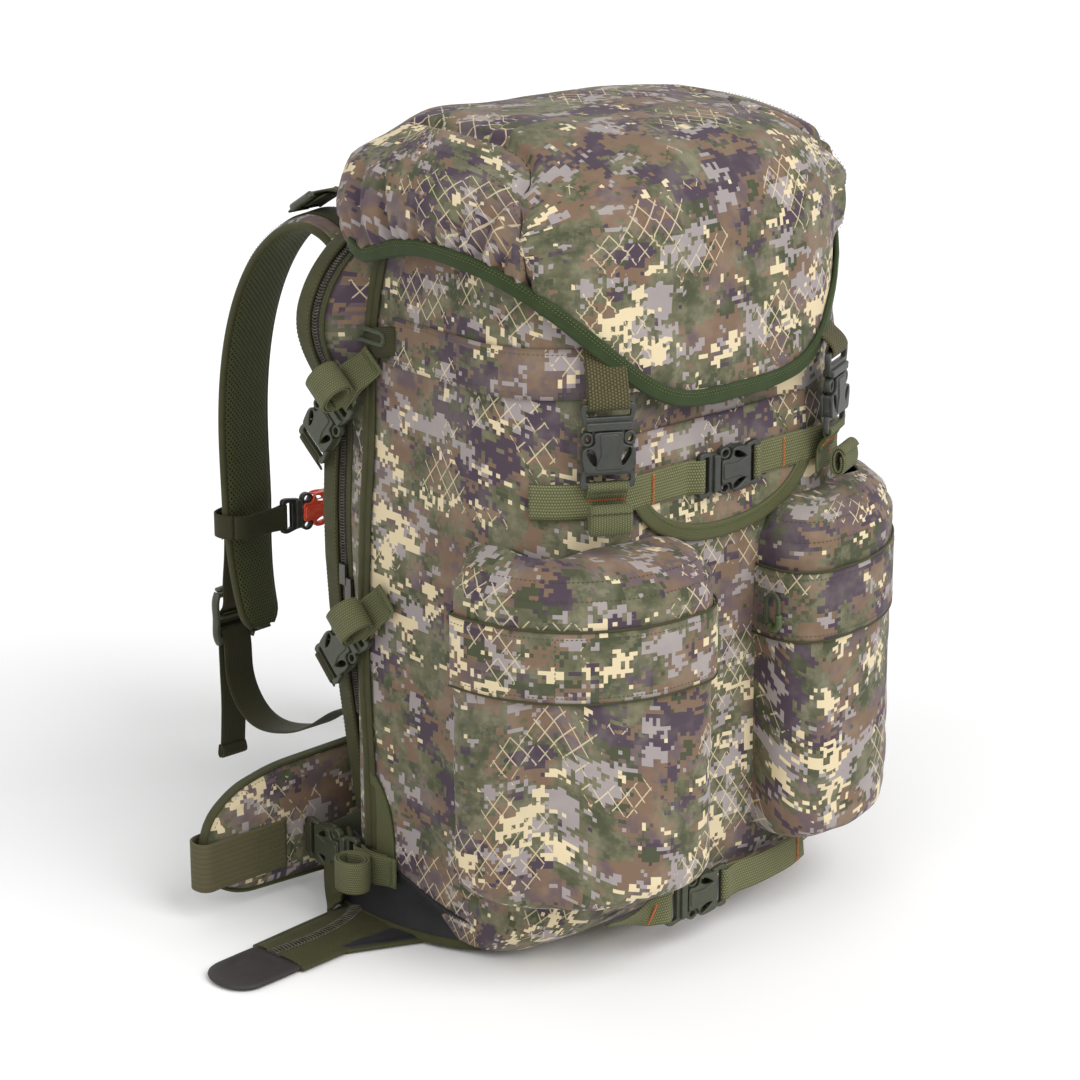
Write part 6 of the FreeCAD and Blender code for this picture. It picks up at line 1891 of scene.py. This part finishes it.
def make_hip():
    """Hip belt wings with their edging, wide webbing and the cloth that covers their roots."""
    front, rear, tip = hip_front, hip_rear, hip_tip
    points = [(-118.0, 8.0), (-118.0, 110.0), (-tip + 70, 108.0), (-tip + 33, 100.0), (-tip + 9, 83.0),
              (-tip, 59.0), (-tip + 10, 26.0), (-tip + 34, 14.0)]
    for name, side in SIDES:
        shape = rounded_outline([(x * -side, z) for x, z in points], 15.0, 3.5)
        mesh = Mesh()
        channels = [((side * 132, 30), (side * 250, 40), 5.0, 1.6), ((side * 132, 84), (side * 246, 82), 5.0, 1.6)]
        pillow(mesh, shape, front + 0.2, rear + 1.2, (side * 190.0, 60.0), 5.0, 18, front=0, back=1, seed=3 + side,
               wrinkle=1.1, channels=channels, shift=(900.0 * side, 200.0))
        bend = ("pack", "hip_" + name, (side * 116.0, 167, 60), (side * 137.0, 167, 60))
        thing = piece(mesh, "hip_cushion_" + name, [CAMO, MESH_CLOTH], None, ["hip_wing_" + name], bend)
        trim = Mesh()
        around = np.stack([shape[:, 0], np.full(len(shape), 167.6), shape[:, 1]], -1)
        hub = np.array([side * 190.0, 167.6, 60.0])
        out = unit(around - hub)
        trim.sweep(around + out * 0.4, out, tape(9.0, 2.6, 5), closed=True)
        trim.stitches(around - out * 3.2 + (0, -5.4, 0), (0, -1, 0), 1)
        piece(trim, "hip_edge_" + name, [DARK_BINDING, GREEN_THREAD], None, (), bend)
        face = front - 2.2
        x_end = -285.0
        line = [(-tip + 74, face), (-tip + 40, face), (-tip + 20, face), (-tip + 7, face - 0.2),
                (-tip - 1, face + 0.2), (x_end + 1.8, front + 2.2), (x_end + 0.6, 167.0), (x_end + 1.8, rear - 0.6),
                (-tip - 1, rear + 3.2), (-tip + 12, rear + 5.0), (-tip + 40, rear + 6.4), (-tip + 62, rear + 8.2),
                (-tip + 66, rear + 10.0)]
        path = smooth([(x * -side, y, hip_web_z) for x, y in line], 2.5)
        bow = clamp(1 - abs(path[:, 1] - 167.0) / 12.0) * (abs(path[:, 0]) > 262)
        path[:, 0] += side * -0.2 * bow
        normal = unit(np.cross(directions(path), (0, 0, 1))) * -side
        webs = Mesh()
        webs.sweep(path, normal, tape(strap_widths["hip"], web, 12), shift=(20, 0))
        x0, x1, z0, z1 = side * (tip - 76.0), side * (tip - 44.0), hip_web_z - 16.0, hip_web_z + 16.0
        y = face - 1.1
        box = [(x0, z0), (x1, z0), (x1, z1), (x0, z1), (x0, z0)]
        for a, b in list(zip(box[:-1], box[1:])) + [(box[0], box[2]), (box[3], box[1])]:
            row = [(a[0] + (b[0] - a[0]) * t, y, a[1] + (b[1] - a[1]) * t) for t in np.linspace(0.02, 0.98, 12)]
            webs.stitches(row, (0, -1, 0), 1)
        piece(webs, "hip_webbing_" + name, [HIP_WEBBING, GREEN_THREAD], "hip_" + name,
              ["hip_web_" + name])
        panel = Mesh()
        sheet = np.zeros((16, 20, 3))
        u = np.linspace(0, 1, 20)[None]
        v = np.linspace(0, 1, 16)[:, None]
        sheet[..., 0] = side * (134.0 + 10.0 * (1 - u) + 28.0 * u + 4.0 * np.sin(v * 9))
        sheet[..., 2] = 12.0 + v * (60.0 - 22.0 * u)
        sheet[..., 1] = 124.0 + 34.0 * u - 6.0 * np.sin(v * math.pi) * (1 - u) + 2.2 * noise(sheet, 16.0, 97)
        sheet = sheet if side > 0 else sheet[:, ::-1]
        panel.shell(sheet, cloth_of(sheet), 1.8, inside=0)
        piece(panel, "hip_root_cover_" + name, [OLIVE_CLOTH], "pack")


def make_tongues():
    """Zipped tongues at the panel's foot: bound cloth, a length of coil, and a moulded rubbery cap."""
    for name, side in SIDES:
        turn = math.radians(4.0)

        def at(points):
            points = np.asarray(points, float)
            x = points[..., 0] * math.cos(turn) - points[..., 1] * math.sin(turn) - 182.0
            y = points[..., 0] * math.sin(turn) + points[..., 1] * math.cos(turn) + 78.0
            return np.stack([x * -side, y, points[..., 2]], -1)

        def field(x, foot, top):
            v = np.linspace(0, 1, 14)[:, None]
            y = foot[None] + (top - foot)[None] * v
            wave = 0.5 * noise(np.stack([np.broadcast_to(x, y.shape), y, y * 0], -1), 15.0, 98)
            return at(np.stack([np.broadcast_to(x, y.shape), y, 2.6 + 2.6 * (1 - abs(2 * v - 1) ** 8) + wave], -1))

        x = np.linspace(0, -98.0, 34)
        top = np.interp(-x, [0, 98], [28.0, 25.0])
        foot = np.full(len(x), -25.0)
        strip = field(x, foot, top)
        flare_x = np.linspace(0, -54.0, 20)
        flare_foot = np.interp(-flare_x, [0, 54], [-54.0, -26.0])
        flare = field(flare_x, flare_foot, flare_x * 0 - 22.0) - (0, 0, 0.9)
        mesh = Mesh()
        mesh.shell(strip, cloth_of(strip), 2.0, inside=0)
        mesh.shell(flare, cloth_of(flare), 1.6, mat=5, inside=5)
        rim = at(np.stack([flare_x, flare_foot, np.full(len(flare_x), 2.4)], -1))
        mesh.sweep(rim, (0, 0, 1), ring(3.2, 10, 0.6), 1)
        for way, edge in ((1, top), (-1, foot)):
            rim = at(np.stack([x, edge, np.full(len(x), 3.2)], -1))
            mesh.sweep(rim, (0, 0, 1), ring(4.0, 10, 0.6), 1)
            rim = at(np.stack([x, edge - way * 5.0, np.full(len(x), 5.4)], -1))
            mesh.stitches(rim, (0, 0, 1), 2)
        middle = smooth([(-100.0, 4.0, 5.9), (-60.0, 2.0, 6.0), (-20.0, 8.0, 6.0), (0.0, 16.0, 6.4)], 3.0)
        line = at(middle)
        mesh.sweep(line + (0, 0, 0.3), (0, 0, 1), tape(16.0, 1.2, 5), 3)
        teeth(mesh, line + (0, 0, 1.2), (0, 0, 1), 4, 3.0, 4.6)
        piece(mesh, "tongue_cloth_" + name, [DARK_BINDING, DARK_BINDING, GREEN_THREAD, ZIP_CLOTH, COIL, LINING],
              None, ["tongue_" + name],
              ("pack", "tongue_" + name[0], (side * 180.0, 78, 2), (side * 192.0, 78, 2)))
        cap = Mesh()
        turnings = np.linspace(-math.pi / 2, math.pi / 2, 26)
        border = [(-134.0 - 23.5 * math.cos(a) ** 0.8, 25.5 * math.sin(a)) for a in turnings]
        border = [(-97.0, -25.5), (-112.0, -25.8)] + border + [(-112.0, 25.8), (-97.0, 25.5)]
        border = even(np.array(border + border[:1]), 2.5)[:-1]
        hub = np.array([-122.0, 0.0])
        share = np.sin(np.linspace(0, math.pi / 2, 11))[1:]
        for way in (1, -1):
            t = share[:, None, None]
            plan = hub + (border - hub)[None] * t
            groove = np.exp(-((np.linalg.norm(plan - hub, axis=-1) - 15.0) / 2.2) ** 2)
            rise = (1 - t[..., 0] ** 9) ** 0.5 * 3.2 - 1.1 * groove
            height = 3.25 + way * rise
            grid = at(np.concatenate([plan, height[..., None]], -1))
            coords = np.concatenate([grid, grid[:, :1]], 1)[..., :2]
            faces, corners = quads(grid.shape[:2], coords, True)
            start = cap.count
            cap.add(grid, faces, corners)
            cap.fan(grid[0], start)
        cap.stitches(at([(-100.5, v, 6.6) for v in np.linspace(-23, 23, 16)]), (0, 0, 1), 1)
        piece(cap, "tongue_cap_" + name, [RUBBER, DARK_THREAD], "tongue_" + name[0])


# ==== buckles ===============================================================================================

def blade(outlines, depth, chamfer, level):
    """A flat moulding with holes, centred on level. Outlines are (along, across), the outer one first."""
    curve = bpy.data.curves.new("blade", "CURVE")
    curve.dimensions = "2D"
    curve.fill_mode = "BOTH"
    curve.extrude = (depth / 2 - chamfer) * MM
    curve.bevel_depth = chamfer * MM
    curve.bevel_resolution = 2
    curve.offset = -chamfer * MM
    for line in outlines:
        spline = curve.splines.new("POLY")
        spline.points.add(len(line) - 1)
        for place, (x, y) in zip(spline.points, line):
            place.co = (x * MM, y * MM, 0.0, 1.0)
        spline.use_cyclic_u = True
    thing = bpy.data.objects.new("blade", curve)
    bpy.context.scene.collection.objects.link(thing)
    bpy.context.view_layer.update()
    data = bpy.data.meshes.new_from_object(thing.evaluated_get(bpy.context.evaluated_depsgraph_get()))
    points = np.zeros(len(data.vertices) * 3)
    data.vertices.foreach_get("co", points)
    points = points.reshape(-1, 3) / MM + (0, 0, level)
    faces = [tuple(face.vertices) for face in data.polygons]
    bpy.data.meshes.remove(data)
    bpy.data.objects.remove(thing)
    bpy.data.curves.remove(curve)
    return points, faces


def lay(mesh, made, place):
    """Add a moulding at its place."""
    points, faces = made
    start = mesh.count
    points = place(points)
    mesh.points.append(points)
    mesh.count += len(points)
    for sides in (3, 4):
        same = np.array([f for f in faces if len(f) == sides])
        if len(same):
            mesh.more(same, np.zeros((len(same), sides, 2)), start)
    for face in faces:
        if len(face) > 4:
            fan = np.array([(face[0], face[k], face[k + 1]) for k in range(1, len(face) - 1)])
            mesh.more(fan, np.zeros((len(fan), 3, 2)), start)


def mirrored(points, half=1.0):
    """A closed outline in (along, across), from the points on its far side, in shares of half."""
    return [(x, -y * half) for x, y in points] + [(x, y * half) for x, y in reversed(points)]


def soft_box(x0, x1, y0, y1, radius):
    return rounded_outline([(x0, y0), (x1, y0), (x1, y1), (x0, y1)], radius, 1.2)


def teardrop(cx, cy, length, width, lean):
    """A window that is wide towards the mouth and narrow away from it."""
    turn = np.linspace(0, 2 * math.pi, 28, endpoint=False)
    x = np.cos(turn) * length / 2
    y = np.sin(turn) * width / 2 * (1 - 0.35 * np.cos(turn))
    return np.stack([cx + x, cy + y + lean * x], -1)


def make_buckle(name, web_width, frame_at, male, female, bodies, plastics, slots):
    """Both halves of a side-release buckle; a half with no body is left out."""
    place = setting(*frame_at)[0]
    thick = 10.0
    half = web_width / 2 + 4.4
    ladder = web_width / 2 + 3.8
    bar = web_width / 2 + 1.0

    def mould(mesh, points, radius, step, depth, chamfer, level=0.0, holes=()):
        lay(mesh, blade([rounded_outline(points, radius, step), *holes], depth, chamfer, level), place)

    body = Mesh()
    outer = mirrored([(0.4, 0.56), (9.5, 0.50), (12.0, 0.96), (17.0, 1.0), (30.0, 0.90)], half)
    windows = [teardrop(18.5, way * half * 0.62, 13.0, half * 0.30, way * -0.34) for way in (-1, 1)]
    mould(body, outer, 3.2, 1.0, 2.6, 0.7, thick / 2 - 1.3, windows)
    mould(body, outer, 3.2, 1.0, 2.4, 0.6, -thick / 2 + 1.2, windows)
    mould(body, mirrored([(25.0, 0.84), (30.0, 0.84)], half), 2.0, 1.5, thick - 4.4, 0.4)
    rail = [(12.4, 0.84), (12.4, 0.95), (26.0, 0.93), (26.0, 0.84)]
    rib = [(1.4, 0.44), (1.4, 0.53), (9.0, 0.48), (9.0, 0.38)]
    for way in (-1, 1):
        for bar_line, radius in ((rail, 1.0), (rib, 0.8)):
            mould(body, [(x, way * half * y) for x, y in bar_line], radius, 1.0, thick - 4.4, 0.3)
    crest = mirrored([(1.6, 0.36), (16.0, 0.30), (27.5, 0.52)], half)
    mould(body, crest, 3.0, 1.0, 1.6, 0.7, thick / 2 + 0.1)
    ladder_frame = mirrored([(28.0, half * 0.92), (38.0, ladder + 1.2), (42.4, ladder)])
    mould(body, ladder_frame, 3.0, 1.2, 4.2, 0.8, holes=[soft_box(32.4, 37.6, -bar, bar, 1.4)])
    if bodies[1]:
        piece(body, name + "_socket", [plastics[1]], bodies[1], female)
    if not bodies[0]:
        return
    plug = Mesh()
    base = mirrored([(-19.6, ladder), (-15.0, ladder + 1.2), (-6.0, half * 0.92), (-0.6, half * 0.84)])
    mould(plug, base, 3.0, 1.2, 4.6, 0.9, holes=[soft_box(-15.6, -10.0, -bar, bar, 1.4)])
    mould(plug, mirrored([(-6.5, 0.86), (-0.4, 0.80)], half), 1.5, 1.2, thick - 1.0, 0.9)
    mould(plug, mirrored([(-1.0, 0.15), (15.0, 0.11)], half), 1.0, 1.0, 3.0, 0.4)
    turn = np.linspace(0, 2 * math.pi, 30, endpoint=False)
    prong = [(-1.0, 0.60), (3.0, 0.62), (11.0, 0.66), (15.0, 0.80), (16.2, 0.62), (14.0, 0.44), (9.0, 0.40),
             (-1.0, 0.36)]
    for way in (-1, 1):
        bow, eye = ([(5.6 + wide * math.cos(t), way * half * 0.78 + deep * math.sin(t)) for t in turn]
                    for wide, deep in ((5.4, 4.6), (3.1, 2.5)))
        lay(plug, blade([bow, eye], 5.6, 0.9, 0.3), place)
        mould(plug, [(x, way * y * half) for x, y in prong], 2.0, 1.0, 3.8, 0.6, 0.2)
    piece(plug, name + "_plug", [plastics[0]], bodies[0], male)


def make_buckles():
    """All buckles. plastic is the pair of materials of plug and socket, and a pair of material slot names, which is
    not used.
    """
    grey = (GREY_PLASTIC, GREY_PLASTIC), ("buckle", "buckle")
    dark = (GREEN_PLASTIC, GREEN_PLASTIC), ("buckle_dark", "buckle_dark")
    chest = (BLACK_PLASTIC, ORANGE_PLASTIC), ("buckle_black", "buckle_orange")

    def on_front(name, width, mouth, bodies, plastic, node):
        make_buckle(name, strap_widths[width], (mouth, (1, 0, 0), (0, -1, 0)), [node + "_male"], [node + "_female"],
                    bodies, *plastic)

    for name, side in SIDES:
        make_buckle("lid_buckle_" + name, strap_widths["lid"], lid_mouth(side), ["lid_buckle_male_" + name],
                    ["lid_buckle_females"] if side < 0 else [], ("lid_plug_" + name, "pack"), *grey)
    on_front("cross_buckle", "front", (-11.0, front_at(cross_z) - buckle_out, cross_z), ("cross_plug", "pack"),
             grey, "cross_buckle")
    on_front("bottom_buckle", "front", (-40.0, bag_front - buckle_out, bottom_z), ("bottom_plug", "pack"), dark,
             "bottom_buckle")
    for level, mouth_y, mouth_z, slope in SIDE_LEVELS:
        for name, side in SIDES:
            which = "%s_%s" % (level, name)
            make_buckle("side_buckle_" + which, strap_widths["side"], side_mouth(side, mouth_y, mouth_z, slope),
                        ["side_buckle_male_" + which], ["side_buckle_females"] if which == "top_left" else [],
                        ("side_plug_" + which, "pack"), *dark)
    on_front("chest_buckle", "chest", chest_mouth, ("sternum_plug", "harness"), chest, "sternum_buckle")
    x, y = hip_tip - 66.0, hip_rear + 9.8
    for name, at_x, male, female, bodies in (
            ("hip_buckle_left", -x + 46.0, [], ["hip_buckle_female"], (None, "hip_left")),
            ("hip_buckle_right", x - 26.0, ["hip_buckle_male"], [], ("hip_right", None))):
        make_buckle(name, strap_widths["hip"], ((at_x, y, hip_web_z), (-1, 0, 0), (0, 1, 0)), male, female, bodies,
                    *dark)


# ==== CAD nodes that stay: their materials ==================================================================

def dress(finish, *names):
    """Give CAD nodes their material."""
    for name in names:
        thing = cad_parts[name]
        slots = thing.material_slots
        if slots:
            for place in slots:
                place.material = finish
        else:
            thing.data.materials.append(finish)


def soften(width, *names):
    """Rounded edges on moulded parts."""
    for name in names:
        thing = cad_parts[name]
        bevel = thing.modifiers.new("edges", "BEVEL")
        bevel.width = width * MM
        bevel.segments = 2
        bevel.limit_method = "ANGLE"
        bevel.angle_limit = math.radians(35)
        bevel.harden_normals = False


# ==== build =================================================================================================

make_bag()
make_side_seams()
make_rear_gussets()
make_corner_tabs()
make_front_band()
make_flap()
make_sling()
make_collar()
make_lid_binding(make_lid())
for side_name, side_sign in SIDES:
    make_pocket(side_name, side_sign)
for make in (make_lid_straps, make_cross_strap, make_bottom_strap, make_side_straps, make_pulls, make_panel,
             make_shoulders, make_sternum, make_haul_loop, make_buckles, make_hip, make_tongues):
    make()

dress(SHEET_PLASTIC, "frame_sheet")
dress(ALLOY, "frame_stays")
dress(DARK_METAL, "arch_slider_left", "arch_slider_right")
soften(0.5, "frame_sheet", "frame_stays", "arch_slider_left", "arch_slider_right")


# ==== stage =================================================================================================

def make_stage():
    """Pale floor, soft light and the camera. The room is white only to the camera and in reflections."""
    scene = bpy.context.scene
    size = 14.0                # metres, as everything on the stage
    data = bpy.data.meshes.new("floor")
    data.from_pydata([(-size, -size, 0), (size, -size, 0), (size, size, 0), (-size, size, 0)], [], [(0, 1, 2, 3)])
    floor = bpy.data.objects.new("floor", data)
    scene.collection.objects.link(floor)
    paint = bpy.data.materials.new("floor")
    paint.use_nodes = True
    shader = paint.node_tree.nodes["Principled BSDF"]
    shader.inputs["Base Color"].default_value = (0.97, 0.97, 0.97, 1)
    shader.inputs["Roughness"].default_value = 0.9
    data.materials.append(paint)
    world = bpy.data.worlds.new("room")
    scene.world = world
    world.use_nodes = True
    tree = world.node_tree
    ground = tree.nodes["Background"]
    ground.inputs["Color"].default_value = (1, 1, 1, 1)
    seen = tree.nodes.new("ShaderNodeLightPath")
    level = tree.nodes.new("ShaderNodeMapRange")
    room_light, seen_white = 0.44, 1.0
    level.inputs["To Min"].default_value = room_light
    level.inputs["To Max"].default_value = seen_white
    either = seen.outputs["Is Camera Ray"]
    for ray in ("Is Glossy Ray", "Is Transmission Ray"):
        join = tree.nodes.new("ShaderNodeMath")
        join.operation = "MAXIMUM"
        tree.links.new(either, join.inputs[0])
        tree.links.new(seen.outputs[ray], join.inputs[1])
        either = join.outputs[0]
    tree.links.new(either, level.inputs["Value"])
    tree.links.new(level.outputs[0], ground.inputs["Strength"])

    def sun(name, toward, strength, spread):
        light = bpy.data.lights.new(name, "SUN")
        light.energy = strength
        light.angle = math.radians(spread)
        thing = bpy.data.objects.new(name, light)
        thing.rotation_euler = Vector(toward).to_track_quat("Z", "Y").to_euler()
        scene.collection.objects.link(thing)

    sun("key", (0.16, -0.72, 0.68), 2.1, 46)
    sun("left", (-0.72, -0.25, 0.62), 0.9, 60)
    sun("back", (0.35, 0.78, 0.5), 0.5, 90)
    scene.view_settings.view_transform = "Standard"
    sensor, picture_width, focal_length = 36.0, 1080, 3199.5     # the last two in picture points
    camera = bpy.data.cameras.new("camera")
    camera.lens = focal_length / picture_width * sensor
    camera.sensor_width = sensor
    thing = bpy.data.objects.new("camera", camera)
    thing.location = (-1.5824, -1.6676, 1.0678)
    look = Vector((0.6336, 0.7036, -0.3215)).normalized()
    side = look.cross(Vector((0, 0, 1))).normalized()
    up = side.cross(look)
    turn = Matrix((side, up, -look)).transposed()
    thing.rotation_euler = turn.to_euler()
    scene.collection.objects.link(thing)
    scene.camera = thing


make_stage()
